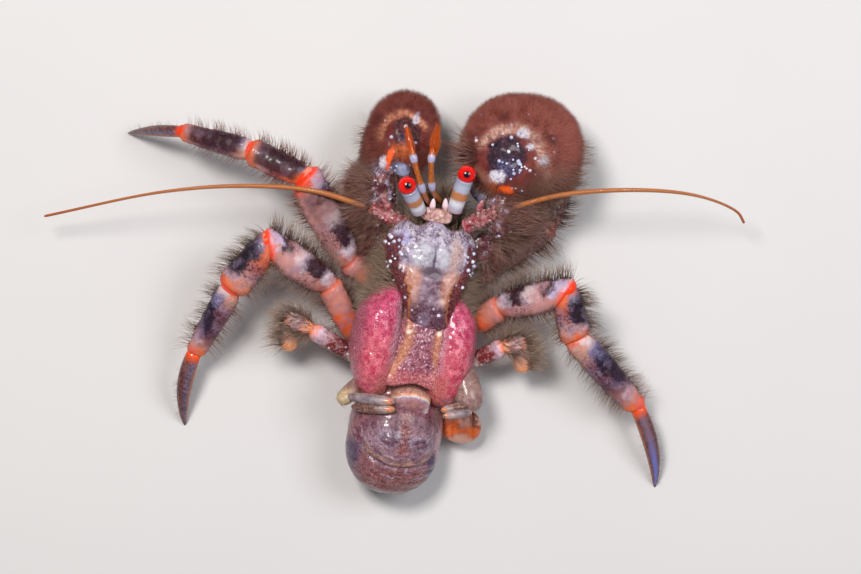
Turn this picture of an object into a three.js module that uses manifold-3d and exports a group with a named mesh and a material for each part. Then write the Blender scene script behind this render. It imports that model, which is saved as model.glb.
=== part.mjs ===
// A right-handed hermit crab out of its shell, standing on its walking legs with both claws held forward.
// Millimetres, +X to the crab's right, +Y ahead of it, +Z up. The origin is the middle of its box on the
// floor.
// Every armour plate, limb piece and feeler is a closed solid, with a thin gap where it meets the next.
import * as THREE from "three";
import { mergeVertices } from "three/addons/utils/BufferGeometryUtils.js";
import Module from "manifold-3d";

const wasm = await Module();
wasm.setup();

// Driving dimensions.
const GAP = 0.3; // clearance between neighbouring plates
const MITRE = GAP / 2 + 0.02; // how far a limb piece stops short of the middle of its joint
const BODY_AT = [-1.75, -2.6, 8]; // the middle of the carapace, at the height about which the body leans
const BODY_YAW = THREE.MathUtils.degToRad(-9.3);
const BODY_ROLL = THREE.MathUtils.degToRad(12); // leans to its right, so the left flank shows more
const FEELER_TIP = 0.28; // half the thickness of the thinnest feeler
const FLOOR_DEPTH = 6;

// ---------------------------------------------------------------- shaping tools

const vec = (x, y, z) => new THREE.Vector3(x, y, z);
const UP = vec(0, 0, 1);
const { lerp, smoothstep } = THREE.MathUtils;

/** How wide a rounded form is at y from -1 to 1: 2 is an ellipse, and more is blunter. */
const rounded = (y, bluntness) => Math.pow(Math.max(0, 1 - Math.pow(Math.abs(y), bluntness)), 1 / bluntness);

/** A closed three.js geometry as a manifold solid. */
function solidOf(geometry) {
  const bare = geometry.clone();
  bare.deleteAttribute("normal");
  bare.deleteAttribute("uv");
  const merged = mergeVertices(bare, 1e-4);
  return new wasm.Manifold(
    new wasm.Mesh({
      numProp: 3,
      vertProperties: merged.attributes.position.array,
      triVerts: new Uint32Array(merged.index.array),
    }),
  );
}

/** Moves every point of a closed unit form to place(x, y, z) and returns the solid. */
function reshaped(geometry, place) {
  const points = geometry.attributes.position;
  for (let i = 0; i < points.count; i++) {
    const p = place(points.getX(i), points.getY(i), points.getZ(i));
    points.setXYZ(i, p.x, p.y, p.z);
  }
  return solidOf(geometry);
}

const ball = (sides, rings, place) => reshaped(new THREE.SphereGeometry(1, sides, rings), place);
const rod = (sides, rings, place) => reshaped(new THREE.CylinderGeometry(1, 1, 2, sides, rings), place);

/** The frame of a limb that runs along a direction: across it, along it and out of its upper face. */
function frameAlong(direction, upright = UP) {
  const along = direction.clone().normalize();
  const across = along.clone().cross(upright).normalize();
  return { along, across, out: across.clone().cross(along) };
}

/** The biggest body of a solid, so that a cut leaves no crumbs. */
function whole(solid) {
  return solid.decompose().sort((a, b) => b.volume() - a.volume())[0];
}

/** A solid with its neighbours cut away. */
const cutBy = (solid, ...neighbours) =>
  whole(neighbours.reduce((left, cutter) => left.subtract(cutter), solid));

/**
 * A domed form along +Y of the body: profile(y) gives, in millimetres, its middle x, its half width to each
 * side, the height of its rim, and how far it rises above and hangs below the rim. grow widens it all round.
 */
function dome({ from, to, sides = 12, rings = 7, squareness = 1, profile }, grow = 0) {
  const middle = (from + to) / 2;
  const half = (to - from) / 2;
  const squared = (v) => Math.sign(v) * Math.pow(Math.abs(v), squareness);
  return ball(sides, rings, (x, y, z) => {
    const ring = Math.hypot(x, z) || 1;
    const at = profile(y);
    const across = squared(x / ring) * (Math.hypot(x, z) ? 1 : 0);
    const high = squared(z / ring) * (Math.hypot(x, z) ? 1 : 0);
    const width = (across > 0 ? at.right : at.left) + grow * rounded(y, 4);
    const height = (high > 0 ? at.above : at.below) + grow * rounded(y, 4);
    return vec(at.x + across * width, middle + y * (half + grow), at.rim + high * height);
  });
}

/**
 * A limb piece from a to b. size(t) gives its half width across and its half thickness, bow lifts its middle,
 * and the faces at its ends lie in the planes of its two joints, so that the next piece meets it squarely.
 */
function limb(shape, grow = 0) {
  const { a, b, faceA, faceB, size, bow = vec(0, 0, 0), sides = 8, rings = 4, upright = UP } = shape;
  const chord = b.clone().sub(a).normalize();
  const start = a.clone().addScaledVector(faceA ?? chord, -grow);
  const end = b.clone().addScaledVector(faceB ?? chord, grow);
  return rod(sides, rings, (x, y, z) => {
    const t = (y + 1) / 2;
    const middle = start.clone().lerp(end, t).addScaledVector(bow, 4 * t * (1 - t));
    const face =
      t < 0.5 ? (faceA ?? chord).clone().lerp(chord, 2 * t) : chord.clone().lerp(faceB ?? chord, 2 * t - 1);
    const { across, out } = frameAlong(face, upright);
    const [wide, thick] = size(t);
    return middle.addScaledVector(across, x * (wide + grow)).addScaledVector(out, z * (thick + grow));
  });
}

/** A feeler or stalk along a curve, whose half thickness at t from 0 to 1 is size(t). */
function stalk(curve, size, sides = 6, rings = 18) {
  return rod(sides, rings, (x, y, z) => {
    const t = (y + 1) / 2;
    const { across, out } = frameAlong(curve.getTangent(t));
    const radius = size(t);
    return curve.getPoint(t).addScaledVector(across, x * radius).addScaledVector(out, z * radius);
  });
}

/** An egg between two points, with its half width and half thickness, and how blunt its ends are. */
function egg({ a, b, wide, thick, bluntness = 2, sides = 8, rings = 6, upright = UP }, grow = 0) {
  const middle = a.clone().lerp(b, 0.5);
  const half = a.distanceTo(b) / 2 + grow;
  const { along, across, out } = frameAlong(b.clone().sub(a), upright);
  return ball(sides, rings, (x, y, z) => {
    const ring = Math.hypot(x, z) || 1;
    const swell = rounded(y, bluntness) / ring;
    return middle
      .clone()
      .addScaledVector(along, y * half)
      .addScaledVector(across, x * swell * (wide + grow))
      .addScaledVector(out, z * swell * (thick + grow));
  });
}

function curveThrough(points) {
  const corners = points.map((p) => vec(...p));
  return new THREE.CatmullRomCurve3(corners, false, "centripetal");
}

// ---------------------------------------------------------------- colours

const COLOURS = {
  shield: [0xd9cfd3, 0.35],
  rear: [0x9a6b78, 0.4],
  lobe: [0xd6527a, 0.35],
  thorax: [0xb98a84, 0.5],
  flesh: [0x8b6a76, 0.3],
  plate: [0xc79a8c, 0.35],
  leg: [0xb59aa6, 0.35],
  joint: [0xe5582a, 0.35],
  dactyl: [0x7c6f9b, 0.35],
  velvet: [0x8a4a3e, 0.8],
  cuff: [0x86675c, 0.7],
  stalk: [0xd9dde6, 0.3],
  cornea: [0xd9130c, 0.12],
  feeler: [0xb5541c, 0.4],
  peduncle: [0xc9737f, 0.4],
};

const crab = new THREE.Group();
const body = new THREE.Group();
body.position.set(...BODY_AT);
body.rotation.set(0, BODY_ROLL, BODY_YAW, "ZYX");
body.updateMatrix();
crab.add(body);

const onCrab = (solid) => solid.transform(body.matrix.elements);
const onBody = (solid) => solid.transform(body.matrix.clone().invert().elements);

/** Adds one named piece of the crab to a group. */
function add(group, name, solid, colour) {
  const mesh = solid.getMesh();
  const geometry = new THREE.BufferGeometry();
  geometry.setAttribute("position", new THREE.BufferAttribute(new Float32Array(mesh.vertProperties), 3));
  geometry.setIndex(new THREE.BufferAttribute(new Uint32Array(mesh.triVerts), 1));
  geometry.computeVertexNormals();
  const [shade, roughness] = COLOURS[colour];
  const finish = new THREE.MeshStandardMaterial({ color: shade, roughness, metalness: 0 });
  const piece = new THREE.Mesh(geometry, finish);
  piece.name = name;
  group.add(piece);
}

const floor = solidOf(new THREE.BoxGeometry(200, 200, FLOOR_DEPTH).translate(0, 0, -FLOOR_DEPTH / 2));
const SIDES = [
  ["left", -1],
  ["right", 1],
];

// ---------------------------------------------------------------- carapace
// Heights here are above the line about which the body leans.

// The hard front shield: broad before, tapering to a rounded rear end, with its flanks turned down.
const shieldShape = {
  from: -3.4,
  to: 12.4,
  sides: 16,
  rings: 10,
  squareness: 0.85,
  profile: (y) => {
    const width = lerp(3.3, 7.0, smoothstep(y, -0.75, 0.5)) * rounded(y, 3);
    const rim = lerp(3.9, 1.9, smoothstep(y, -0.6, 0.5));
    const crown = lerp(5.4, 6.2, smoothstep(y, -0.9, 0.1)) - 2.2 * smoothstep(y, 0.45, 1);
    const above = (crown - rim) * rounded(y, 5);
    const x = lerp(1.0, 0, smoothstep(y, -1, 0.2));
    return { x, left: width, right: width, rim, above, below: 0.9 * rounded(y, 3) };
  },
};

// The softer plate down the middle of the back, behind the shield, which spreads at its hind edge.
const rearShape = {
  from: -12.2,
  to: -1.8,
  squareness: 0.8,
  profile: (y) => {
    const width = lerp(4.2, 2.7, smoothstep(y, -0.95, 0)) * rounded(y, 6);
    const crown = lerp(4.0, 5.1, smoothstep(y, -1, 0.6));
    const rim = 3.0;
    const above = (crown - rim) * rounded(y, 6);
    const x = lerp(0.2, 1.0, smoothstep(y, -1, 0.2));
    return { x, left: width, right: width, rim, above, below: 0.8 * rounded(y, 4) };
  },
};

// The swollen gill cover on each flank.
const lobeShape = (side) => ({
  from: -14.1,
  to: 3.1,
  rings: 8,
  squareness: 0.92,
  profile: (y) => {
    const swell = rounded(y, 2.2);
    const x = side * (5.6 - 0.7 * y * y);
    const outer = 3.5 * swell;
    const inner = 3.6 * swell;
    return {
      x,
      left: side < 0 ? outer : inner,
      right: side < 0 ? inner : outer,
      rim: 0.6,
      above: 4.7 * swell,
      below: 3.9 * swell,
    };
  },
});

// The underside of the trunk, which carries the limbs.
const thoraxShape = {
  from: -14.2,
  to: 11.2,
  sides: 8,
  rings: 5,
  squareness: 0.85,
  profile: (y) => {
    const swell = rounded(y, 3.2);
    const width = lerp(6.2, 5.0, smoothstep(y, 0, 1)) * swell;
    return { x: 0, left: width, right: width, rim: -0.6, above: 3.6 * swell, below: 3.8 * swell };
  },
};

const shield = dome(shieldShape);
const shieldRoom = dome(shieldShape, GAP);
const rear = cutBy(dome(rearShape), shieldRoom);
const rearRoom = dome(rearShape, GAP);
const lobes = SIDES.map(([, side]) => cutBy(dome(lobeShape(side)), shieldRoom, rearRoom));
const lobeRooms = SIDES.map(([, side]) => dome(lobeShape(side), GAP));
const trunkRooms = [shieldRoom, rearRoom, ...lobeRooms];

// ---------------------------------------------------------------- abdomen

// The first ring of the abdomen is a small saddle plate between the ends of the gill covers.
const saddleShape = {
  from: -16.4,
  to: -12.0,
  sides: 12,
  rings: 6,
  squareness: 0.75,
  profile: (y) => {
    const width = 2.9 * rounded(y, 6);
    const above = lerp(1.6, 2.2, (y + 1) / 2) * rounded(y, 5);
    return { x: 0.5, left: width, right: width, rim: 2.2, above, below: 1.2 };
  },
};

// The soft abdomen is swollen and rests on the floor.
const abdomenShape = {
  from: -27.8,
  to: -12.8,
  sides: 12,
  rings: 8,
  profile: (y) => {
    const swell = rounded(y, lerp(2.2, 3.8, smoothstep(y, -0.2, 0.6)));
    return { x: 0, left: 7.1 * swell, right: 7.0 * swell, rim: -2.1, above: 6.2 * swell, below: 6.2 * swell };
  },
};

const saddle = cutBy(dome(saddleShape), rearRoom, ...lobeRooms);
const saddleRoom = dome(saddleShape, GAP);
const abdomenRoom = dome(abdomenShape, GAP);
const abdomen = cutBy(dome(abdomenShape), saddleRoom, ...trunkRooms, onBody(floor));
const thorax = cutBy(dome(thoraxShape), ...trunkRooms, saddleRoom, abdomenRoom);

add(body, "carapace_shield", shield, "shield");
add(body, "carapace_rear", rear, "rear");
SIDES.forEach(([name], i) => add(body, "gill_cover_" + name, lobes[i], "lobe"));
add(body, "thorax", thorax, "thorax");
add(body, "abdomen_saddle", saddle, "plate");
add(body, "abdomen", abdomen, "flesh");

// The hind end of the abdomen is curled forward underneath, to the right, and the tail fan hangs from it.
const bodyRooms = [...trunkRooms, saddleRoom, abdomenRoom, dome(thoraxShape, GAP)].map(onCrab);
const tailCurve = curveThrough([
  [-2.0, -19.5, 2.8],
  [1.2, -17.6, 3.2],
  [4.0, -17.4, 4.1],
]);
const tailSize = (t) => lerp(2.2, 1.7, t);
const tail = stalk(tailCurve, tailSize, 8, 6);
const tailRoom = stalk(tailCurve, (t) => tailSize(t) + GAP, 8, 6);
const telsonShape = { a: vec(4.3, -18.0, 4.6), b: vec(4.0, -22.6, 3.4), wide: 1.6, thick: 0.6, bluntness: 3 };
const uropodShapes = {
  left: { a: vec(2.6, -18.4, 3.6), b: vec(2.1, -22.1, 2.6), wide: 1.05, thick: 0.55, bluntness: 2.6 },
  right: { a: vec(6.0, -18.2, 3.8), b: vec(6.5, -21.7, 2.8), wide: 1.15, thick: 0.55, bluntness: 2.6 },
};
const telsonRoom = egg(telsonShape, GAP);
add(crab, "abdomen_tail", cutBy(tail, ...bodyRooms, floor), "flesh");
add(crab, "telson", cutBy(egg(telsonShape), tailRoom, ...bodyRooms), "joint");
for (const [name] of SIDES) {
  add(crab, "uropod_" + name, cutBy(egg(uropodShapes[name]), telsonRoom, tailRoom, ...bodyRooms), "joint");
}

// ---------------------------------------------------------------- head

// The small ring that carries the eyes, with a pointed scale beside each stalk.
const ringShape = {
  a: vec(0.6, 9.4, 11.3),
  b: vec(1.0, 11.4, 11.9),
  wide: 2.3,
  thick: 0.75,
  bluntness: 3,
  rings: 4,
};
const scaleShapes = SIDES.map(([, side]) => ({
  a: vec(0.9 + side * 0.95, 10.4, 11.9),
  b: vec(1.15 + side * 0.85, 12.6, 12.9),
  wide: 0.5,
  thick: 0.32,
  sides: 4,
  rings: 4,
}));
const eyeRing = scaleShapes.reduce((ring, scale) => ring.add(egg(scale)), egg(ringShape));
const eyeRingRooms = [ringShape, ...scaleShapes].map((shape) => egg(shape, GAP));
add(crab, "eye_ring", cutBy(eyeRing, ...bodyRooms), "plate");

const EYES = {
  left: { foot: vec(-1.5, 10.6, 11.9), top: vec(-3.3, 14.3, 15.7) },
  right: { foot: vec(3.3, 10.6, 11.9), top: vec(5.1, 15.9, 14.6) },
};
const CORNEA = 1.3;
const STALK = 1.21; // half the width of an eyestalk
const eyeRooms = [];
for (const [name] of SIDES) {
  const { foot, top } = EYES[name];
  const cornea = (grow) => ball(10, 8, (x, y, z) => top.clone().addScaledVector(vec(x, y, z), CORNEA + grow));
  const stem = limb({ a: foot, b: top, size: () => [STALK, STALK * 0.96], rings: 2 });
  add(crab, "eyestalk_" + name, cutBy(stem, cornea(0.12), ...eyeRingRooms, ...bodyRooms), "stalk");
  add(crab, "eye_" + name, cornea(0), "cornea");
  eyeRooms.push(limb({ a: foot, b: top, size: () => [STALK + GAP, STALK + GAP] }), cornea(GAP));
}

// The short inner feelers stand up between the eyes, with a knob at the last joint and then a fringed brush.
const ANTENNULES = {
  left: [
    [-0.1, 11.7, 10.3],
    [-1.0, 13.4, 14.4],
    [-2.2, 17.4, 16.8],
    [-2.9, 20.4, 17.2],
    [-3.4, 22.6, 16.9],
  ],
  right: [
    [1.5, 12.2, 10.3],
    [0.3, 13.8, 14.4],
    [0.1, 17.5, 16.8],
    [0.5, 20.4, 17.2],
    [1.0, 22.4, 16.9],
  ],
};
const antennuleSize = (t) => {
  const knob = 0.2 * Math.exp(-Math.pow((t - 0.62) / 0.05, 2));
  const brush = 0.25 * smoothstep(t, 0.68, 0.8) * (1 - t);
  return 0.42 + knob + brush;
};
for (const [name] of SIDES) {
  const feeler = stalk(curveThrough(ANTENNULES[name]), antennuleSize, 5, 12);
  add(crab, "antennule_" + name, cutBy(feeler, ...eyeRooms, ...eyeRingRooms, ...bodyRooms), "feeler");
}

// The long outer feelers: a jointed stem with a spiny scale, then a whip that arches out to the side.
const ANTENNAE = {
  left: {
    stem: [
      [-3.4, 8.9, 9.6],
      [-6.2, 10.1, 10.7],
      [-8.9, 11.4, 11.2],
    ],
    whip: [
      [-8.9, 11.4, 11.2],
      [-17.0, 14.0, 14.0],
      [-26.9, 14.8, 14.6],
      [-38.3, 13.7, 12.4],
      [-55.8, 10.2, 7.0],
    ],
    scale: [vec(-5.4, 10.6, 10.9), vec(-6.9, 12.7, 11.9)],
  },
  right: {
    stem: [
      [4.9, 8.6, 9.6],
      [7.3, 9.6, 10.7],
      [9.7, 10.7, 11.2],
    ],
    whip: [
      [9.7, 10.7, 11.2],
      [18.3, 13.0, 14.0],
      [29.5, 13.7, 14.8],
      [38.2, 12.9, 12.6],
      [43.9, 10.8, 9.4],
      [45.2, 9.2, 7.6],
    ],
    scale: [vec(6.7, 10.2, 10.9), vec(7.4, 12.4, 11.9)],
  },
};
const antennaRooms = [];
for (const [name] of SIDES) {
  const { stem, whip, scale } = ANTENNAE[name];
  const stemCurve = curveThrough(stem);
  const stemSize = (t) => lerp(1.25, 0.85, t);
  const stemRoom = stalk(stemCurve, (t) => stemSize(t) + GAP, 8, 4);
  const spine = { a: scale[0], b: scale[1], wide: 0.55, thick: 0.4, sides: 4, rings: 4 };
  const stemSolid = stalk(stemCurve, stemSize, 8, 4).add(egg(spine));
  const whipSolid = stalk(curveThrough(whip), (t) => lerp(0.62, FEELER_TIP, smoothstep(t, 0, 0.7)), 6, 13);
  add(crab, "antenna_stem_" + name, cutBy(stemSolid, ...eyeRooms, ...eyeRingRooms, ...bodyRooms), "peduncle");
  add(crab, "antenna_whip_" + name, cutBy(whipSolid, stemRoom), "feeler");
  antennaRooms.push(stemRoom, egg(spine, GAP), stalk(curveThrough(whip), () => 0.95, 6, 13));
}

// The outer mouthparts hang side by side under the head.
for (const [name, side] of SIDES) {
  const palp = curveThrough([
    [0.0 + side * 1.5, 5.4, 5.0],
    [0.7 + side * 1.7, 9.0, 4.6],
    [1.1 + side * 1.6, 11.6, 6.6],
    [1.2 + side * 1.2, 12.6, 9.2],
  ]);
  const mouthpart = stalk(palp, (t) => lerp(1.15, 0.5, smoothstep(t, 0.2, 1)), 6, 6);
  add(crab, "mouthpart_" + name, cutBy(mouthpart, ...bodyRooms, ...eyeRingRooms), "peduncle");
}

// ---------------------------------------------------------------- claws

// Each claw arm is an upper arm, a wrist and a hand whose movable finger lies on the inner side.
const CLAWS = {
  right: {
    side: 1,
    shoulder: vec(5.0, 3.4, 5.6),
    elbow: vec(10.0, 7.0, 8.0),
    wrist: { a: vec(9.7, 6.7, 8.2), b: vec(12.2, 14.6, 10.4), wide: 4.5, thick: 3.5, bluntness: 2.4 },
    arm: 2.7,
    hand: { a: vec(12.3, 11.6, 12.0), b: vec(13.7, 28.2, 9.2), wide: 9.3, thick: 4.5, bluntness: 2.15 },
    tilt: 0.1,
  },
  left: {
    side: -1,
    shoulder: vec(-5.2, 3.6, 5.6),
    elbow: vec(-8.2, 7.6, 8.0),
    wrist: { a: vec(-9.2, 7.9, 8.4), b: vec(-7.2, 18.2, 10.6), wide: 3.9, thick: 3.2, bluntness: 2.4 },
    arm: 2.5,
    hand: { a: vec(-6.5, 14.8, 11.6), b: vec(-1.9, 28.3, 8.8), wide: 5.7, thick: 3.9, bluntness: 2.3 },
    tilt: -0.15,
  },
};
const clawRooms = [];
for (const [name] of SIDES) {
  const { side, shoulder, elbow, wrist, arm, hand, tilt } = CLAWS[name];
  const upright = vec(Math.sin(tilt) * -side, 0, Math.cos(tilt));
  const handShape = { ...hand, upright, sides: 13, rings: 8 };
  const handSolid = egg(handShape);
  const handRoom = egg(handShape, GAP);

  // The movable finger is the inner part of the hand beyond its knuckle, with a toothed gap along it.
  const length = hand.a.distanceTo(hand.b);
  const { along, across, out } = frameAlong(hand.b.clone().sub(hand.a), upright);
  const knuckle = hand.a.clone().lerp(hand.b, 0.46);
  const inward = across.clone().multiplyScalar(-side);
  const fingerSplit = (grow) => {
    const outline = new THREE.Shape();
    const inner = hand.wide * 0.34 - grow;
    outline.moveTo(hand.wide * 1.4, -grow);
    outline.lineTo(hand.wide * 1.4, length);
    outline.lineTo(inner - hand.wide * 0.22, length);
    for (let i = 0; i <= 12; i++) {
      const t = 1 - i / 12;
      const tooth = 0.22 * Math.cos(i * Math.PI);
      outline.lineTo(inner - hand.wide * 0.22 * t + tooth, lerp(0.3 - grow, length * 0.62, t));
    }
    outline.lineTo(inner + 0.5, -grow);
    return reshaped(
      new THREE.ExtrudeGeometry(outline, { depth: 4 * hand.thick, bevelEnabled: false }),
      (u, v, w) =>
        knuckle
          .clone()
          .addScaledVector(inward, u)
          .addScaledVector(along, v)
          .addScaledVector(out, (2 * hand.thick - w) * side),
    );
  };
  const rooms = [...bodyRooms, ...eyeRooms, ...antennaRooms];
  const wristShape = { ...wrist, sides: 9, rings: 5 };
  const wristRoom = egg(wristShape, GAP);
  const armSize = (t) => [arm * lerp(0.75, 1, t), arm * lerp(0.75, 0.95, t)];
  const armSolid = limb({ a: shoulder, b: elbow, size: armSize, sides: 10 });
  add(crab, "claw_hand_" + name, cutBy(handSolid, fingerSplit(GAP), ...rooms, floor), "velvet");
  const finger = whole(handSolid.intersect(fingerSplit(0)));
  add(crab, "claw_finger_" + name, cutBy(finger, ...rooms, floor), "velvet");
  add(crab, "claw_wrist_" + name, cutBy(egg(wristShape), handRoom, ...rooms), "cuff");
  add(crab, "claw_arm_" + name, cutBy(armSolid, wristRoom, handRoom, ...rooms), "cuff");
  const armRoom = limb({ a: shoulder, b: elbow, size: () => [arm + GAP, arm + GAP] }, GAP);
  clawRooms.push(handRoom, wristRoom, armRoom);
}

// ---------------------------------------------------------------- walking legs

// Each leg is a short base, then four long pieces, and the last is a curved point that stands on the floor.
// A piece's sizes are its half width at its start, middle and end, and flat is its thickness against them.
const LEG_PIECES = [
  { name: "base", sizes: [1.7, 1.95, 1.95], flat: 0.9 },
  { name: "thigh", sizes: [1.9, 2.6, 2.4], flat: 0.82 },
  { name: "knee", sizes: [2.0, 2.4, 2.2], flat: 0.82 },
  { name: "shin", sizes: [2.05, 2.0, 1.5], flat: 0.8 },
  { name: "toe", sizes: [1.1, 1.15, 0.3], flat: 0.85 },
];
// Each leg has its own joints, the widths of its pieces against those above, and the way its toe bows.
const LEGS = {
  front_left: {
    joints: [
      [-7.6, 0.8, 5],
      [-11.8, 3.6, 6],
      [-17.8, 15.7, 12.6],
      [-25.5, 19.4, 12.2],
      [-35.5, 22.3, 9],
      [-44.6, 22.6, -0.35],
    ],
    widths: [1, 1.04, 0.88, 0.86, 0.8],
    toeBow: vec(0, 0.2, 1),
  },
  front_right: {
    joints: [
      [5.9, 0.8, 4.6],
      [8.6, 2.6, 4.8],
      [17.0, 8.6, 4.6],
      [19.4, 16.6, 4.0],
      [15.4, 25.4, 3.2],
      [8.4, 27.6, -0.35],
    ],
    widths: [0.9, 0.82, 0.86, 0.86, 0.85],
    toeBow: vec(0, 0, 1),
  },
  hind_left: {
    joints: [
      [-10.6, -7.6, 5],
      [-14.5, 0.3, 7.5],
      [-23.0, 6.5, 12.8],
      [-28.4, 0.0, 10.4],
      [-34.1, -9.4, 5.8],
      [-36.1, -20.5, -0.35],
    ],
    widths: [1, 1, 1.06, 0.94, 1.05],
    toeBow: vec(-0.8, 0, 1),
  },
  hind_right: {
    joints: [
      [6.4, -5.6, 5],
      [10.0, -2.8, 7.5],
      [19.5, -0.4, 12.8],
      [20.6, -7.2, 10.4],
      [29.9, -17.3, 5.4],
      [33.0, -29.6, -0.35],
    ],
    widths: [1, 0.94, 1, 1.1, 1.05],
    toeBow: vec(0.8, 0, 1),
  },
};
const legRooms = [];
for (const [name, { joints, widths, toeBow }] of Object.entries(LEGS)) {
  const at = joints.map((p) => vec(...p));
  const ways = at.slice(1).map((p, i) => p.clone().sub(at[i]).normalize());
  const faces = at.map((_, i) => (ways[i - 1] ?? ways[i]).clone().add(ways[i] ?? ways[i - 1]).normalize());
  const rooms = [...bodyRooms, ...clawRooms, ...antennaRooms];
  LEG_PIECES.forEach(({ name: piece, sizes, flat }, i) => {
    const profile = new THREE.QuadraticBezierCurve(
      new THREE.Vector2(0, sizes[0]),
      new THREE.Vector2(0.5, 2 * sizes[1] - (sizes[0] + sizes[2]) / 2),
      new THREE.Vector2(1, sizes[2]),
    );
    const shape = {
      a: at[i].clone().addScaledVector(faces[i], MITRE),
      b: at[i + 1].clone().addScaledVector(faces[i + 1], -MITRE),
      faceA: faces[i],
      faceB: faces[i + 1],
      size: (t) => [profile.getPoint(t).y * widths[i], profile.getPoint(t).y * flat * widths[i]],
      bow: piece === "toe" ? toeBow : vec(0, 0, 0),
      rings: piece === "base" ? 2 : 4,
    };
    const colour = piece === "toe" ? "dactyl" : "leg";
    add(crab, ["leg", name, piece].join("_"), cutBy(limb(shape), ...rooms, floor), colour);
    legRooms.push(limb(shape, GAP / 2));
  });
}

// ---------------------------------------------------------------- small hind limbs

// The fourth pair are short stubby legs that would grip the shell. Each ends in a rounded rasp.
const GRIPPERS = {
  left: {
    from: vec(-9.9, -10.6, 6.6),
    bend: vec(-17.0, -6.2, 8.4),
    end: vec(-20.3, -4.4, 8.2),
    pad: vec(-20.5, -8.9, 6.4),
  },
  right: {
    from: vec(5.7, -11.0, 6.6),
    bend: vec(10.4, -8.6, 8.4),
    end: vec(13.2, -8.0, 8.2),
    pad: vec(13.3, -12.0, 6.4),
  },
};
// The fifth pair are folded over the root of the abdomen, with their pincers towards the middle.
const CLEANERS = {
  left: {
    from: vec(-9.6, -13.4, 7.6),
    elbow: vec(-13.0, -16.4, 10.9),
    heel: vec(-12.3, -16.3, 10.6),
    tip: vec(-5.0, -16.9, 13.2),
    arm: 1.25,
    hand: 1.5,
  },
  right: {
    from: vec(4.3, -11.2, 7.6),
    elbow: vec(6.0, -17.9, 9.2),
    heel: vec(6.0, -17.3, 11.0),
    tip: vec(1.6, -18.0, 12.6),
    arm: 2.1,
    hand: 1.15,
  },
};
for (const [name] of SIDES) {
  const { from, bend, end, pad } = GRIPPERS[name];
  const hand = { a: end.clone().add(vec(0, 1.4, 0.1)), b: pad, wide: 1.35, thick: 1.1, bluntness: 3 };
  const way = curveThrough([from, bend, end].map((p) => p.toArray()));
  const stemSize = (t) => lerp(1.1, 1.5, t);
  const stem = stalk(way, stemSize, 8, 5);
  const stemRoom = stalk(way, (t) => stemSize(t) + GAP, 8, 5);
  add(crab, "gripper_pad_" + name, cutBy(egg(hand), ...bodyRooms, ...legRooms), "joint");
  add(crab, "gripper_leg_" + name, cutBy(stem, egg(hand, GAP), ...bodyRooms, ...legRooms), "leg");

  const { from: root, elbow, heel, tip, arm, hand: pincer } = CLEANERS[name];
  const upper = egg({ a: root, b: elbow, wide: arm, thick: arm * 0.9, bluntness: 3, rings: 4 });
  const lower = egg({ a: heel, b: tip, wide: pincer, thick: pincer * 0.75, bluntness: 2.8, rings: 5 });
  const folded = upper.add(lower);
  add(crab, "cleaner_leg_" + name, cutBy(folded, ...bodyRooms, ...legRooms, stemRoom), "plate");
}

// ---------------------------------------------------------------- the origin

// The whole crab is moved so that its origin is the middle of its box, on the floor.
const box = new THREE.Box3().setFromObject(crab, true);
const footprint = box.getCenter(vec(0, 0, 0));
crab.position.set(-footprint.x, -footprint.y, -box.min.z);

export default crab;
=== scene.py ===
"""A large hairy hermit crab out of its shell, as a life-size museum model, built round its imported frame."""

import bpy
import numpy as np
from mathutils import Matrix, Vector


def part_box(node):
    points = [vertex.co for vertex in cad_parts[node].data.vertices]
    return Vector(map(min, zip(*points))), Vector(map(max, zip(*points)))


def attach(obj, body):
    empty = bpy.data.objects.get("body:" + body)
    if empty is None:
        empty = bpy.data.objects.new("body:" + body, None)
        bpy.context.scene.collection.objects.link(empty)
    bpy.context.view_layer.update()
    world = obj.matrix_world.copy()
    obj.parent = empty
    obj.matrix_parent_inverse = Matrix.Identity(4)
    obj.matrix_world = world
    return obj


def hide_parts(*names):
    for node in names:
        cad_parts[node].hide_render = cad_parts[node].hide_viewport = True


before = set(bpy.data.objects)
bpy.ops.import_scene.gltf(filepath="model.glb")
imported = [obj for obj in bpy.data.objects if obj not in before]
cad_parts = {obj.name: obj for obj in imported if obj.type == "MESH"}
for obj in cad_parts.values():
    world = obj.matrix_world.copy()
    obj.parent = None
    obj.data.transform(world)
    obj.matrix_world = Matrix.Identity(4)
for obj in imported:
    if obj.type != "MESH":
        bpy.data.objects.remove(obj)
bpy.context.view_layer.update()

# ---------------------------------------------------------------- the soft trunk and abdomen
# Under its plates the crab is soft: a narrow trunk, a swollen moist abdomen that lies on the floor, and a
# short tail curled forward under it. It is one skin, so that no seam shows, and the plates lie on it.

# Places are in millimetres from a point under the crab, which the left eye's place in the frame gives.
EYES = {
    "left": {"foot": (-1.5, 10.6, 11.9), "top": (-3.3, 14.3, 15.7)},
    "right": {"foot": (3.3, 10.6, 11.9), "top": (5.1, 15.9, 14.6)},
}
EYE_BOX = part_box("eye_left")
ORIGIN = np.array((EYE_BOX[0] + EYE_BOX[1]) / 2) - np.array(EYES["left"]["top"]) / 1000
BODY_AT = np.array([-1.75, -2.6, 8])
BODY_YAW = np.radians(-9.3)
BODY_ROLL = np.radians(12)


def turned(yaw, roll):
    """The matrix that leans the body over and then turns it on the floor."""
    lean = np.array([[np.cos(roll), 0, np.sin(roll)], [0, 1, 0], [-np.sin(roll), 0, np.cos(roll)]])
    turn = np.array([[np.cos(yaw), -np.sin(yaw), 0], [np.sin(yaw), np.cos(yaw), 0], [0, 0, 1]])
    return turn @ lean


BODY_TURN = turned(BODY_YAW, BODY_ROLL)


def on_crab(points):
    """Points of the body's own frame, moved to where the body stands."""
    return points @ BODY_TURN.T + BODY_AT


def on_body(points):
    """The same points in the body's own frame again."""
    return (points - BODY_AT) @ BODY_TURN


def blend(start, end, share):
    return start + (end - start) * share


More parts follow.
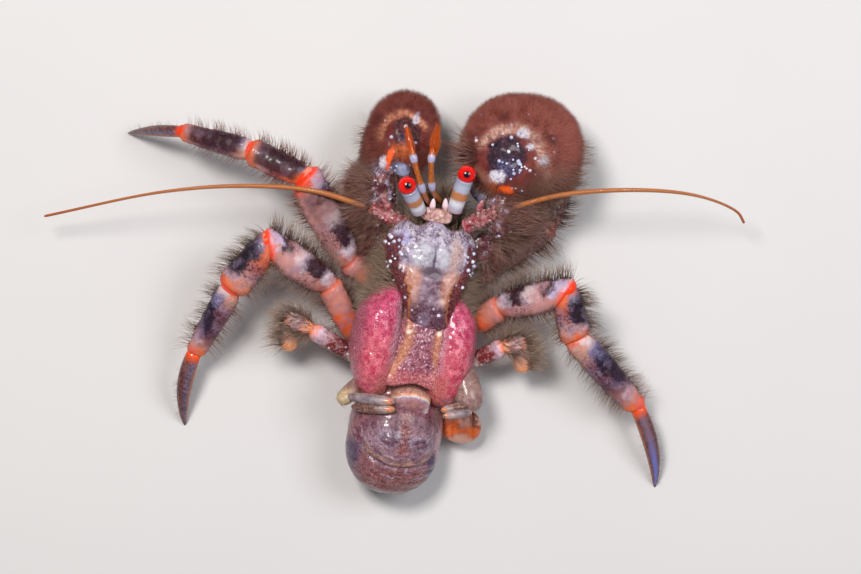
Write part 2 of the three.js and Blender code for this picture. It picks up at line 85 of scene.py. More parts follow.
def smooth(value, low, high):
    """0 below low, 1 above high, and a soft step between."""
    t = np.clip((value - low) / (high - low), 0, 1)
    return t * t * (3 - 2 * t)


def hump(value, middle, reach):
    return np.exp(-((value - middle) / reach) ** 2)


def rounded(y, bluntness):
    """How wide a rounded form is at y from -1 to 1: 2 is an ellipse, and more is blunter."""
    return np.clip(1 - np.abs(y) ** bluntness, 0, 1) ** (1 / bluntness)


def squared(value, power):
    return np.sign(value) * np.abs(value) ** power


def lumps(points, size, seed=0):
    """Smooth uneven ground from -1 to 1, with bumps about size millimetres across."""
    cell = points / size + seed * 17.31
    base = np.floor(cell)
    f = cell - base
    f = f * f * (3 - 2 * f)
    total = 0
    # Large uneven numbers give each corner of a cell a level of its own.
    for corner in np.ndindex(2, 2, 2):
        c = np.array(corner)
        key = (base + c) @ np.array([127.1, 311.7, 74.7])
        level = np.modf(np.abs(np.sin(key) * 43758.5453))[0]
        total = total + level * np.prod(np.where(c, f, 1 - f), axis=-1)
    return total * 2 - 1


def loft(place, rings, around):
    """A closed skin: place(along, angle) gives its points, along from 0 to 1 and angle from 0 to a turn."""
    along, angle = np.meshgrid(
        np.linspace(0, 1, rings), np.linspace(0, 2 * np.pi, around, endpoint=False), indexing="ij"
    )
    grid = place(along, angle)
    points = np.concatenate([grid.reshape(-1, 3), grid[:1].mean(1), grid[-1:].mean(1)])
    i, j = np.meshgrid(np.arange(rings - 1), np.arange(around), indexing="ij")
    i, j = i.ravel(), j.ravel()
    k = (j + 1) % around
    quads = np.stack([i * around + j, i * around + k, (i + 1) * around + k, (i + 1) * around + j], 1)
    u, v = j / around, i / (rings - 1)
    du, dv = 1 / around, 1 / (rings - 1)
    quad_uv = np.stack([u, v, u + du, v, u + du, v + dv, u, v + dv], 1).reshape(-1, 4, 2)
    faces, uvs = [quads], [quad_uv]
    spin = np.arange(around)
    after = (spin + 1) % around
    for end, ring in ((0, 0), (1, (rings - 1) * around)):
        tip = np.full(around, rings * around + end)
        first, second = (after, spin) if end == 0 else (spin, after)
        faces.append(np.stack([tip, ring + first, ring + second], 1))
        flat = np.full(around, float(end))
        mid = (spin + 0.5) / around
        edge = [(spin + 1) / around, spin / around] if end == 0 else [spin / around, (spin + 1) / around]
        uvs.append(np.stack([mid, flat, edge[0], flat, edge[1], flat], 1).reshape(-1, 3, 2))
    ends = [[0], [1]]
    marks = {
        "along": np.concatenate([along.ravel(), *ends]), "around": np.concatenate([angle.ravel(), [0], [0]])
    }
    if volume(points, faces) < 0:
        faces = [f[:, ::-1] for f in faces]
        uvs = [w[:, ::-1] for w in uvs]
    return {"points": points, "faces": faces, "uvs": uvs, "marks": marks}


def volume(points, faces):
    total = 0
    for group in faces:
        for n in range(1, group.shape[1] - 1):
            a, b, c = points[group[:, 0]], points[group[:, n]], points[group[:, n + 1]]
            total += np.einsum("ij,ij->i", a, np.cross(b, c)).sum()
    return total


def make(name, parts, finish=None):
    """One mesh object from lofted parts, each with its own square of the OFBake map."""
    side = int(np.ceil(np.sqrt(len(parts))))
    points, faces, uvs, first = [], [], [], 0
    wide = {n: mark.shape[1:] for part in parts for n, mark in part["marks"].items()}
    marks = {n: [] for n in sorted(wide)}
    for number, part in enumerate(parts):
        corner = np.array([number % side, number // side])
        points.append(part["points"])
        for group, flat in zip(part["faces"], part["uvs"]):
            faces += (group + first).tolist()
            uvs.append(((corner + 0.02 + 0.96 * flat) / side).reshape(-1, 2))
        for n in marks:
            blank = np.zeros((len(part["points"]), *wide[n]))
            marks[n].append(part["marks"].get(n, blank))
        first += len(part["points"])
    # Nothing goes below the floor.
    points = np.concatenate(points)
    points[:, 2] = np.maximum(points[:, 2], 0)
    mesh = bpy.data.meshes.new(name)
    mesh.from_pydata((points / 1000 + ORIGIN).tolist(), [], faces)
    mesh.uv_layers.new(name="OFBake").data.foreach_set("uv", np.concatenate(uvs).ravel())
    for n, values in marks.items():
        mark(mesh, n, np.concatenate(values))
    mesh.polygons.foreach_set("use_smooth", [True] * len(mesh.polygons))
    if finish:
        mesh.materials.append(finish)
    obj = bpy.data.objects.new(name, mesh)
    bpy.context.scene.collection.objects.link(obj)
    return obj


def mark(mesh, name, values):
    """Writes numbers or vectors on a mesh's vertices, for its paint and its bristles to follow."""
    values = np.asarray(values, np.float32)
    kind, field = ("FLOAT", "value") if values.ndim == 1 else ("FLOAT_VECTOR", "vector")
    layer = mesh.attributes.get(name) or mesh.attributes.new(name, kind, "POINT")
    layer.data.foreach_set(field, values.ravel())


def points_of(mesh):
    """A mesh's vertices in the millimetres used here."""
    flat = np.empty(len(mesh.vertices) * 3)
    mesh.vertices.foreach_get("co", flat)
    return (flat.reshape(-1, 3) - ORIGIN) * 1000


def dome(start, end, section, squareness=1):
    """A domed form along the body: section(y) is its middle, width, rim, rise and depth at y, -1 to 1."""

    def place(along, angle):
        y = -np.cos(np.pi * np.clip(along, 0.002, 0.998))
        middle, width, rim, rise, depth = section(y)
        across = squared(np.cos(angle), squareness)
        high = squared(np.sin(angle), squareness)
        z = rim + high * np.where(high > 0, rise, depth)
        return np.stack([middle + across * width, (start + end) / 2 + y * (end - start) / 2, z], -1)

    return place


def body_loft(place, rings, around, relief=None):
    """A loft in the body's own frame, with its place there marked on it, and relief(points) raised."""
    part = loft(place, rings, around)
    own = part["points"]
    if relief is not None:
        own = own + relief(own)
    part["marks"]["place"] = own
    part["points"] = on_crab(own)
    return part


def thorax_section(y):
    swell = rounded(y, 3.2)
    return 0, blend(6.1, 4.9, smooth(y, 0, 1)) * swell, -0.6, 3.5 * swell, 3.7 * swell


def abdomen_section(y):
    swell = rounded(y, blend(2.2, 3.8, smooth(y, -0.2, 0.6)))
    return 0, 7 * swell, -2.1, 6.15 * swell, 5.9 * swell


def curve(points):
    """A smooth way through a few points, given back as a function of 0 to 1."""
    p = np.array(points, float)
    step = np.sqrt(np.linalg.norm(np.diff(p, axis=0), axis=1))
    at = np.concatenate([[0], np.cumsum(step)]) / step.sum()
    slope = np.gradient(p, at, axis=0)

    def way(t):
        t = np.clip(t, 0, 1)
        k = np.clip(np.searchsorted(at, t, side="right") - 1, 0, len(at) - 2)
        width = at[k + 1] - at[k]
        s = ((t - at[k]) / width)[..., None]
        a, b = p[k], p[k + 1]
        da, db = slope[k] * width[..., None], slope[k + 1] * width[..., None]
        return (
            (2 * s ** 3 - 3 * s ** 2 + 1) * a + (s ** 3 - 2 * s ** 2 + s) * da
            + (-2 * s ** 3 + 3 * s ** 2) * b + (s ** 3 - s ** 2) * db
        )

    return way


def unit(v):
    v = np.asarray(v)
    return v / np.maximum(np.linalg.norm(v, axis=-1, keepdims=True), 1e-09)


def sides_of(direction, upright=(0, 0, 1)):
    """Across and out of the upper face of a limb that runs along a direction."""
    along = unit(direction)
    across = unit(np.cross(along, np.array(upright)))
    return across, np.cross(across, along)


def rod(way, radius, end_round=0.04):
    """A rod along a way, whose half thickness is radius(t), with its ends drawn in to a dome."""

    def place(along, angle):
        t = along
        across, out = sides_of(way(t + 0.001) - way(t - 0.001))
        ends = np.sqrt(np.clip(1 - (1 - np.minimum(t, 1 - t) / end_round).clip(0, 1) ** 2, 0.0004, 1))
        r = (radius(t) * ends)[..., None]
        return way(t) + across * np.cos(angle)[..., None] * r + out * np.sin(angle)[..., None] * r

    return place


tail_way = curve([(-3.5, -20.5, 4.2), (-1, -19, 3.2), (1.4, -17.7, 3.4), (4, -17.4, 4.1)])
skin = make(
    "body_skin",
    [
        body_loft(dome(-14.2, 11.2, thorax_section, 0.85), 60, 60),
        body_loft(dome(-27.8, -12.8, abdomen_section), 80, 90),
        loft(rod(tail_way, lambda t: blend(2.3, 1.65, t)), 40, 36),
    ],
)


def finished(obj, *modifiers):
    """The object with its modifiers applied, given as (kind, settings) pairs."""
    for kind, settings in modifiers:
        modifier = obj.modifiers.new(kind, kind)
        for key, value in settings.items():
            setattr(modifier, key, value)
    shown = obj.evaluated_get(bpy.context.evaluated_depsgraph_get())
    mesh = bpy.data.meshes.new_from_object(shown)
    obj.modifiers.clear()
    old = obj.data
    obj.data = mesh
    bpy.data.meshes.remove(old)
    return obj


finished(
    skin, ("REMESH", {"mode": "VOXEL", "voxel_size": 0.00026}),
    ("CORRECTIVE_SMOOTH", {"factor": 0.7, "iterations": 14, "use_only_smooth": True}),
)
own = on_body(points_of(skin.data))
# A raised oval field with two low mounds lies on the abdomen, and fine folds bow round its lower edge.
x, y = own[:, 0] - 0.2, own[:, 1]
behind = smooth(-y, 15.5, 18)
upper = smooth(own[:, 2], -3, 0.5) * behind
arc = np.hypot(x * 0.8, y + 17) + 0.3 * lumps(own, 2.6, 4)
field = np.hypot(x / 5.7, (y + 19.4) / 4.1)
mounds = hump(np.hypot(np.abs(x - 0.45) - 2.45, y + 19.6), 0, 1.3)
folds = 0.22 * mounds - 0.15 * hump(field, 1, 0.06) + 0.05 * hump(field, 1.16, 0.1) - 0.1 * hump(x, 0, 0.5)
folds += 0.05 * np.sin(arc * 6.5) * smooth(arc, 5, 6)
wrinkles = 0.05 * lumps(own * np.array([0.5, 1.6, 1]), 0.8, 2) + 0.1 * lumps(own, 2.4, 7)
flesh_normal = np.empty(len(own) * 3)
skin.data.vertices.foreach_get("normal", flesh_normal)
grow = folds * upper + wrinkles * behind - 0.1
moved = points_of(skin.data) + flesh_normal.reshape(-1, 3) * grow[:, None]
moved[:, 2] = np.maximum(moved[:, 2], 0)
skin.data.vertices.foreach_set("co", (moved / 1000 + ORIGIN).ravel())
mark(skin.data, "place", own)


class Value:
    """A socket of a node tree that is used in sums like a number."""

    def __init__(self, nodes, socket):
        self.nodes, self.socket = nodes, socket

    def math(self, operation, *others):
        return self.nodes.node("ShaderNodeMath", {"operation": operation}, [self, *others])

    def __add__(self, other):
        return self.math("ADD", other)

    def __mul__(self, other):
        return self.math("MULTIPLY", other)

    def __sub__(self, other):
        return self.math("SUBTRACT", other)

    def __truediv__(self, other):
        return self.math("DIVIDE", other)

    def __pow__(self, other):
        return self.math("POWER", other)

    def __rsub__(self, other):
        return self.nodes.node("ShaderNodeMath", {"operation": "SUBTRACT"}, [other, self])

    def __neg__(self):
        return self * -1

    def __abs__(self):
        return self.math("ABSOLUTE")

    __radd__, __rmul__ = __add__, __mul__

    def step(self, low, high):
        """0 below low and 1 above high, or the other way round where low is the greater."""
        inputs = {"Value": self, "From Min": low, "From Max": high}
        return self.nodes.node("ShaderNodeMapRange", {"interpolation_type": "SMOOTHSTEP"}, inputs)

    def tint(self, low, high, under, over):
        """A colour that turns softly from under to over as this goes from low to high."""
        return self.nodes.mix(self.step(low, high), under, over)

    def hump(self, middle, reach):
        """1 at middle, falling softly to 0 at reach on either side."""
        return abs(self - middle).step(reach, 0)

    def sine(self):
        return self.math("SINE")

    def out(self, name):
        return Value(self.nodes, self.socket.node.outputs[name])


class Nodes:
    """A node tree with one way of adding a node to it."""

    def __init__(self, tree):
        self.tree = tree

    def node(self, kind, settings=None, inputs=None, out=0):
        made = self.tree.nodes.new(kind)
        for key, value in (settings or {}).items():
            if key == "ramp":
                self.fill(made.color_ramp, value)
            else:
                setattr(made, key, value)
        pairs = inputs.items() if isinstance(inputs, dict) else enumerate(inputs or [])
        for key, value in pairs:
            if isinstance(value, Value):
                self.tree.links.new(value.socket, made.inputs[key])
            elif value is not None:
                made.inputs[key].default_value = value
        return Value(self, made.outputs[out]) if len(made.outputs) else None

    def fill(self, ramp, stops):
        """Sets a ramp's stops. A new ramp has one at each end, so a list gives its two ends first."""
        for spot, colour in stops[2:]:
            ramp.elements.new(spot)
        for element, (spot, colour) in zip(ramp.elements, sorted(stops, key=lambda s: s[0])):
            element.position = spot
            element.color = (*colour, 1)

    def mix(self, share, under, over):
        under = under if isinstance(under, Value) else (*under, 1)
        over = over if isinstance(over, Value) else (*over, 1)
        return self.node("ShaderNodeMix", {"data_type": "RGBA"}, {0: share, 6: under, 7: over}, 2)

    def layers(self, colour, *layers):
        """A colour with others laid over it in turn, each given as (share, colour)."""
        for share, over in layers:
            colour = self.mix(share, colour, over)
        return colour

    def attribute(self, name, out="Fac"):
        return self.node("ShaderNodeAttribute", {"attribute_name": name}, out=out)

    def place(self):
        """The place marked on a piece's vertices, in millimetres of its own frame."""
        return self.attribute("place", "Vector")

    def split(self, vector):
        x = self.node("ShaderNodeSeparateXYZ", None, [vector])
        return x, x.out("Y"), x.out("Z")

    def join(self, x, y, z):
        return self.node("ShaderNodeCombineXYZ", None, [x, y, z])

    def where(self):
        """The place on the crab in millimetres."""
        spot = self.node("ShaderNodeTexCoord", out="Object")
        return self.vector("MULTIPLY_ADD", spot, (1000,) * 3, tuple(-1000 * ORIGIN))

    def cloud(self, where, size, seed=0, rough=0.6, detail=3):
        """Soft blotches about size millimetres across, from 0 to 1."""
        inputs = {"Vector": where, "W": seed, "Scale": 1 / size, "Detail": detail, "Roughness": rough}
        return self.node("ShaderNodeTexNoise", {"noise_dimensions": "4D"}, inputs)

    def wander(self, where, reach, size, seed=0):
        """The same places, each moved up to about reach millimetres, so that a boundary is uneven."""
        inputs = {"Vector": where, "W": seed, "Scale": 1 / size, "Detail": 5, "Roughness": 0.7}
        noise = self.node("ShaderNodeTexNoise", {"noise_dimensions": "4D"}, inputs, "Color")
        off = self.vector("MULTIPLY_ADD", noise, (reach * 4,) * 3, (reach * -2,) * 3)
        return self.vector("ADD", where, off)

    def vector(self, operation, *values, out="Vector"):
        return self.node("ShaderNodeVectorMath", {"operation": operation}, values, out)

    def scaled(self, vector, factor):
        return self.node("ShaderNodeVectorMath", {"operation": "SCALE"}, {0: vector, "Scale": factor})

    def near(self, spot, x, y, wide, high, soft=0.5):
        """1 within an oval round x, y that reaches wide and high millimetres from it, and 0 outside."""
        here = self.split(spot)
        across, along = (here[0] - x) / wide, (here[1] - y) / high
        return ((across * across + along * along) ** 0.5).step(1 + soft, 1 - soft)

    def dots(self, where, spacing, radius, seed=0, soft=0.4):
        """Round dots a spacing apart and of one radius, all in millimetres."""
        inputs = {"Vector": where, "W": seed, "Scale": 1 / spacing}
        spot = self.node("ShaderNodeTexVoronoi", {"voronoi_dimensions": "4D"}, inputs)
        return (spot * spacing).step(radius * (1 + soft), radius * (1 - soft))


def wet_paint(name, paint, *given, rough=0.5, coat=0.1, soft=0.0, bump=0.0, glow=(0.8, 0.25, 0.2)):
    """A finish, whose paint gives its colour, how rough it is, and its height in millimetres for a bump."""
    material = bpy.data.materials.new(name)
    material.use_nodes = True
    material.node_tree.nodes.clear()
    nodes = Nodes(material.node_tree)
    colour, shine, height = paint(nodes, *given)
    inputs = {
        "Base Color": colour, "Roughness": shine if shine is not None else rough, "Specular IOR Level": 0.2,
        "Coat Weight": coat, "Coat Roughness": 0.08, "Subsurface Weight": soft, "Subsurface Radius": glow,
        "Subsurface Scale": 0.0006,
    }
    if height is not None:
        inputs["Normal"] = nodes.node(
            "ShaderNodeBump", None, {"Strength": bump, "Distance": 0.001, "Height": height}
        )
    shader = nodes.node("ShaderNodeBsdfPrincipled", None, inputs)
    nodes.node("ShaderNodeOutputMaterial", None, {"Surface": shader})
    return material


def flesh_paint(n):
    place = n.place()
    spot = n.wander(place, 0.5, 1.5)
    x, y, z = n.split(spot)
    x = x - 0.3
    side = abs(x)
    blotch = n.cloud(place, 1.6, 0, 0.65, 4)
    fine = n.cloud(place, 0.24, 3, 0.8)
    grain = n.cloud(place, 0.12, 5, 0.8, 2)
    arc = (x * x * 0.64 + (y + 17) * (y + 17)) ** 0.5
    field = (x * x / 32.5 + (y + 19.4) * (y + 19.4) / 16.8) ** 0.5
    inside = field.step(1.05, 0.85)
    colour = blotch.tint(0.32, 0.66, (0.13, 0.034, 0.052), (0.32, 0.125, 0.135))
    mauve = blotch.tint(0.32, 0.62, (0.11, 0.055, 0.09), (0.28, 0.165, 0.2))
    red = fine.tint(0.4, 0.62, (0.15, 0.03, 0.032), (0.34, 0.12, 0.1))
    # Ochre arcs bow below the field, and short blue-white flecks follow them along the folds: these flecks
    # are painted highlights on the wet skin.
    flow = n.cloud(n.join(x * 0.7, arc * 2.6, z * 0.7), 1, 9, 0.65)
    ochre = arc.hump(5.9, 0.75) * y.step(-19.8, -21.2)
    rings = arc.hump(5, 0.4) + arc.hump(6.9, 0.5) + arc.hump(8.1, 0.6)
    colour = n.layers(
        colour,
        (inside * 0.8, mauve),
        (y.step(-23.2, -24.4) * side.step(6, 3.5) * 0.75, red),
        (side.step(1.25, 0.35) * y.step(-23, -20.5) * 0.85, red),
        (ochre * 0.7, flow.tint(0.42, 0.56, (0.17, 0.075, 0.065), (0.47, 0.27, 0.17))),
        (flow.step(0.55, 0.63) * rings * y.step(-18.5, -20.5) * 0.8, (0.44, 0.4, 0.56)),
    )
    for middle in (-1.8, 3.1):
        ring = n.near(spot, middle, -19.5, 1.9, 1.3, 0.2) * fine.step(0.38, 0.58)
        colour = n.layers(
            colour,
            (ring * 0.7, (0.36, 0.28, 0.38)),
            (n.near(spot, middle, -19.6, 1.35, 0.85, 0.3) * 0.88, (0.06, 0.02, 0.05)),
            (n.near(spot, middle, -19.7, 0.6, 0.35, 0.6) * 0.6, (0.24, 0.11, 0.15)),
        )
    lines = n.cloud(n.join(x * 0.45, arc * 5.5, z * 0.45), 1, 17, 0.6, 2)
    dusk = (0.035, 0.028, 0.085)
    outline = field.hump(1.04, 0.1) * blotch.step(0.4, 0.55)
    blue = n.near(spot, -6.6, -22.3, 1.3, 2.1) + n.near(spot, 5.9, -22.6, 1, 2) + outline * 0.6
    # The trunk under the plates is dull pinkish tan with darker stipple.
    tan_skin = fine.tint(0.4, 0.62, (0.17, 0.06, 0.052), (0.4, 0.2, 0.145))
    colour = n.layers(
        colour,
        (lines.step(0.54, 0.64) * y.step(-15.5, -17.5) * 0.45, (0.46, 0.33, 0.38)),
        (lines.step(0.46, 0.36) * y.step(-15.5, -17.5) * 0.6, (0.085, 0.022, 0.04)),
        (blue * 0.85, dusk),
        (n.near(spot, 6.3, -18.8, 0.7, 3.2) * 0.8, (0.46, 0.29, 0.33)),
        (z.step(0.6, -1.2) * y.step(-21, -23) * 0.7, (0.1, 0.055, 0.11)),
        (z.step(-1.7, -2.3) * 0.5, (0.46, 0.36, 0.4)),
        (fine.step(0.56, 0.68) * 0.5, (0.52, 0.36, 0.4)),
        (fine.step(0.47, 0.37) * 0.85, (0.055, 0.01, 0.026)),
        (grain.step(0.62, 0.7) * 0.35, (0.66, 0.52, 0.58)),
        (y.step(-13.8, -12.2), tan_skin),
    )
    return colour, fine.step(0.3, 0.7) * 0.2 + 0.26, fine * 0.04 + flow * 0.05


skin.data.materials.append(wet_paint("moist_flesh", flesh_paint, rough=0.36, coat=0.45, soft=0.2, bump=0.6))
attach(skin, "root")
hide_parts("thorax", "abdomen", "abdomen_tail")

# ---------------------------------------------------------------- the shield
# The hard front plate of the carapace. It is broad in front, with a blunt point between the eyes, and
# narrows to a rounded hind end. It has two swollen mounds with a groove between them, and beaded dark
# flanks.


def shield_section(y):
    width = blend(3.6, 7, smooth(y, -0.75, 0.5)) * rounded(y, 3.6)
    rim = blend(3.9, 1.9, smooth(y, -0.6, 0.5))
    crown = blend(5.4, 6.2, smooth(y, -0.9, 0.1)) - 2.2 * smooth(y, 0.45, 1)
    middle = blend(1, 0, smooth(y, -1, 0.2))
    return middle, width, rim, (crown - rim) * rounded(y, 5), 0.9 * rounded(y, 3)


def shield_relief(p):
    x, y, z = p[:, 0] - 0.05, p[:, 1], p[:, 2]
    top = smooth(z, 2.6, 4)
    front = smooth(y, 8.6, 12.2)
    lift = -0.26 * hump(x, 0, 0.4) * smooth(y, 4.8, 6.2) * smooth(y, 10.5, 8.5)
    lift += 0.3 * (hump(x, 1.6, 1.2) + hump(x, -1.6, 1.2)) * hump(y, 7, 1.8)
    lift -= 0.2 * hump(y - 4.9 - 0.04 * x * x, 0, 0.8) * smooth(np.abs(x), 5.4, 3.6)
    lift -= 0.25 * hump(np.abs(x), 4.1, 0.5) * smooth(y, 1.5, 4.5) * smooth(y, 11, 8)
    lift += 0.12 * lumps(p, 1.6, 5) + 0.1 * lumps(p, 0.7, 6) + 0.05 * lumps(p, 0.35, 8)
    ahead = 0.75 * hump(x, 0, 0.9) - 0.75 * hump(np.abs(x), 2.4, 1.3) + 0.3 * hump(np.abs(x), 4.6, 0.8)
    move = np.zeros_like(p)
    move[:, 2] = lift * top
    move[:, 1] = (ahead - 0.25) * front
    return move


shield = make(
    "carapace_shield_shell", [body_loft(dome(-3.4, 12.4, shield_section, 0.85), 150, 150, shield_relief)]
)


def shield_paint(n):
    place = n.place()
    spot = n.wander(place, 0.45, 1.1)
    x, y, z = n.split(spot)
    x = x - y.step(3, -3) * 0.8
    side = abs(x)
    blotch = n.cloud(place, 1.1, 0, 0.65, 4)
    fine = n.cloud(place, 0.3, 3, 0.75)
    grain = n.cloud(place, 0.14, 8, 0.8, 2)
    chalky = n.cloud(place, 0.9, 14, 0.65).step(0.49, 0.6) * y.step(6.5, 9)
    mound = blotch.tint(0.3, 0.6, (0.21, 0.18, 0.235), (0.5, 0.48, 0.54))
    cream = fine.tint(0.35, 0.6, (0.36, 0.18, 0.15), (0.64, 0.46, 0.42))
    # The front is mottled lavender and white, with two clean white mounds, and dark dashes near its edge.
    front = n.layers(
        blotch.tint(0.34, 0.62, (0.11, 0.065, 0.105), (0.4, 0.34, 0.47)),
        (fine.step(0.5, 0.62) * 0.6, (0.58, 0.5, 0.6)),
        (fine.step(0.44, 0.36) * y.step(7.5, 9.5) * 0.8, (0.1, 0.045, 0.07)),
        (chalky * 0.75, (0.7, 0.64, 0.7)),
        (n.near(spot, -1.7, 7, 1.6, 1.9) * 0.9, mound),
        (n.near(spot, 1.5, 7, 1.3, 1.6) * 0.9, mound),
        (n.near(spot, 3.1, 7.6, 1, 2.6) * 0.8, cream),
        (n.near(spot, -5, 9.2, 1.5, 0.9) * blotch.step(0.3, 0.5) * 0.6, (0.42, 0.38, 0.66)),
    )
    # Behind the groove it is peach on both sides of a grey middle, and mottled maroon at its hind end.
    peach = blotch.tint(0.35, 0.65, (0.46, 0.19, 0.125), (0.64, 0.4, 0.37))
    grey = blotch.tint(0.35, 0.62, (0.12, 0.055, 0.085), (0.34, 0.24, 0.3))
    hind = n.layers(
        (side - y.step(4, 0) * 0.3).tint(0.8, 2.2, grey, peach),
        (fine.step(0.58, 0.68) * 0.45, (0.58, 0.47, 0.52)),
    )
    end = fine.tint(0.42, 0.6, (0.035, 0.006, 0.012), (0.17, 0.065, 0.11))
    out = side - y.step(1, 7) * 2.1
    flank = out.step(2.35, 2.85) * y.step(10.3, 8.8)
    maroon = fine.tint(0.42, 0.64, (0.045, 0.003, 0.006), (0.23, 0.045, 0.055))
    hue = blotch.tint(0.45, 0.6, (0.52, 0.54, 0.84), (0.86, 0.84, 0.88))
    dotted = n.dots(place, 0.85, 0.23, 2) * (y.step(1.4, 0.2) + flank * 0.8)
    colour = n.layers(
        y.tint(6.2, 4.5, front, hind),
        (n.near(spot, 0, 4.9, 1.9, 0.75, 0.6) * blotch.step(0.25, 0.5) * 0.85, (0.075, 0.045, 0.065)),
        (side.step(0.36, 0.08) * y.step(4.8, 5.6) * y.step(9.6, 8) * 0.9, (0.07, 0.05, 0.08)),
        (y.step(1.4, -0.6) * 0.93, end),
        (n.near(spot, 0, -1.9, 0.8, 1.3) * 0.45, (0.27, 0.19, 0.27)),
        (flank * 0.95, maroon),
        (out.hump(2.75, 0.26) * y.step(5, 3) * 0.85, (0.46, 0.16, 0.06)),
        (dotted * 0.9, hue),
        (grain.step(0.6, 0.7) * 0.6 * (1 - flank), (0.12, 0.06, 0.09)),
        (z.step(3.1, 2.5) * 0.8, (0.3, 0.095, 0.045)),
        (z.step(2.3, 1.9) * 0.8, (0.06, 0.01, 0.01)),
    )
    return colour, fine.step(0.3, 0.7) * 0.25 + 0.25, fine * 0.07 + grain * 0.03


shield.data.materials.append(
    wet_paint("shield_shell", shield_paint, rough=0.38, coat=0.35, soft=0.05, bump=0.7, glow=(0.6, 0.5, 0.5))
)
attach(shield, "root")
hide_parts("carapace_shield")

# ---------------------------------------------------------------- the plate behind the shield
# A thinner plate runs down the middle of the back to the root of the abdomen. It is mauve with pale
# speckles, orange along both sides, and spreads at its hind edge.


def rear_section(y):
    width = blend(4.6, 3.5, smooth(y, -0.95, 0)) * rounded(y, 6)
    crown = blend(3.9, 5, smooth(y, -1, 0.6))
    middle = blend(0.1, 0.45, smooth(y, -1, 0.2))
    return middle, width, 2.6, (crown - 2.6) * rounded(y, 7), 0.6 * rounded(y, 4)


def rear_relief(p):
    move = np.zeros_like(p)
    x = p[:, 0] - 0.6
    top = smooth(p[:, 2], 2.8, 4)
    bands = -0.22 * hump(np.abs(x), 1.9, 0.35) + 0.12 * hump(np.abs(x), 2.7, 0.5)
    move[:, 2] = (0.14 * lumps(p, 1.4, 9) + 0.07 * lumps(p, 0.5, 3) + bands) * top
    move[:, 1] = 1.1 * hump(x, 0, 2.6) * smooth(p[:, 1], -9.5, -12)
    return move


rear = make("carapace_rear_shell", [body_loft(dome(-12.3, -1.8, rear_section, 0.8), 90, 90, rear_relief)])


def rear_paint(n):
    place = n.place()
    spot = n.wander(place, 0.55, 1.2)
    x, y, _ = n.split(spot)
    side = abs(x - 0.55)
    blotch = n.cloud(place, 1.2, 0, 0.6, 4)
    fine = n.cloud(place, 0.26, 3, 0.75)
    mauve = n.layers(
        blotch.tint(0.3, 0.65, (0.19, 0.045, 0.08), (0.36, 0.12, 0.16)),
        (fine.step(0.54, 0.64) * 0.85, (0.76, 0.58, 0.64)),
        (fine.step(0.46, 0.37) * 0.9, (0.06, 0.008, 0.03)),
    )
    rosy = fine.tint(0.42, 0.6, (0.36, 0.05, 0.075), (0.62, 0.24, 0.24))
    colour = n.mix(y.step(-8.4, -10.4) * 0.85, mauve, rosy)
    tan = fine.tint(0.34, 0.62, (0.4, 0.115, 0.05), (0.62, 0.29, 0.16))
    strip = (side - y.step(-6, -10.5) * 1.5).hump(2.2, 1.2)
    glints = n.near(place, -1.7, -3.9, 0.36, 0.3, 0.7) + n.near(place, 2.7, -3.6, 0.36, 0.3, 0.7)
    colour = n.layers(
        colour,
        (strip * y.step(-11.6, -10) * 0.85, tan),
        (n.dots(place, 0.75, 0.16, 4) * 0.7, (0.84, 0.72, 0.76)),
        (glints * 0.8, (0.84, 0.76, 0.68)),
    )
    return colour, None, fine * 0.07


rear.data.materials.append(wet_paint("rear_shell", rear_paint, rough=0.32, coat=0.5, soft=0.1, bump=0.7))
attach(rear, "root")
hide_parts("carapace_rear")

# ---------------------------------------------------------------- the gill covers
# A thin swollen cover lies over the gills on each flank, wet and raspberry pink, with fine dark speckles,
# faint pleats along it, and a mottled purple edge. The two are mirror forms.
SIDES = {"left": -1, "right": 1}


def cover_section(side):
    def section(y):
        swell = rounded(y, 2.2)
        return side * (5.6 - 0.7 * y * y), 3.5 * swell, 0.6, 4.65 * swell, 3.85 * swell

    return section


def cover_relief(side):
    def relief(p):
        across = side * p[:, 0] - 5.4
        pleat = -0.12 * hump(lumps(p * np.array([0.5, 1, 1]), 3, 11), 0, 0.07) * smooth(p[:, 2], 0.5, 3)
        dimple = 0.07 * lumps(p, 0.5, 13) + 0.09 * lumps(p, 1.1, 12) + 0.12 * lumps(p, 2.6, 14)
        out = unit(np.stack([across, p[:, 1] * 0.05, p[:, 2] - 0.6], 1))
        tip = np.zeros_like(p)
        tip[:, 0] = -side * 1.1 * smooth(p[:, 1], -2, 3.1)
        return out * (pleat + dimple)[:, None] + tip

    return relief


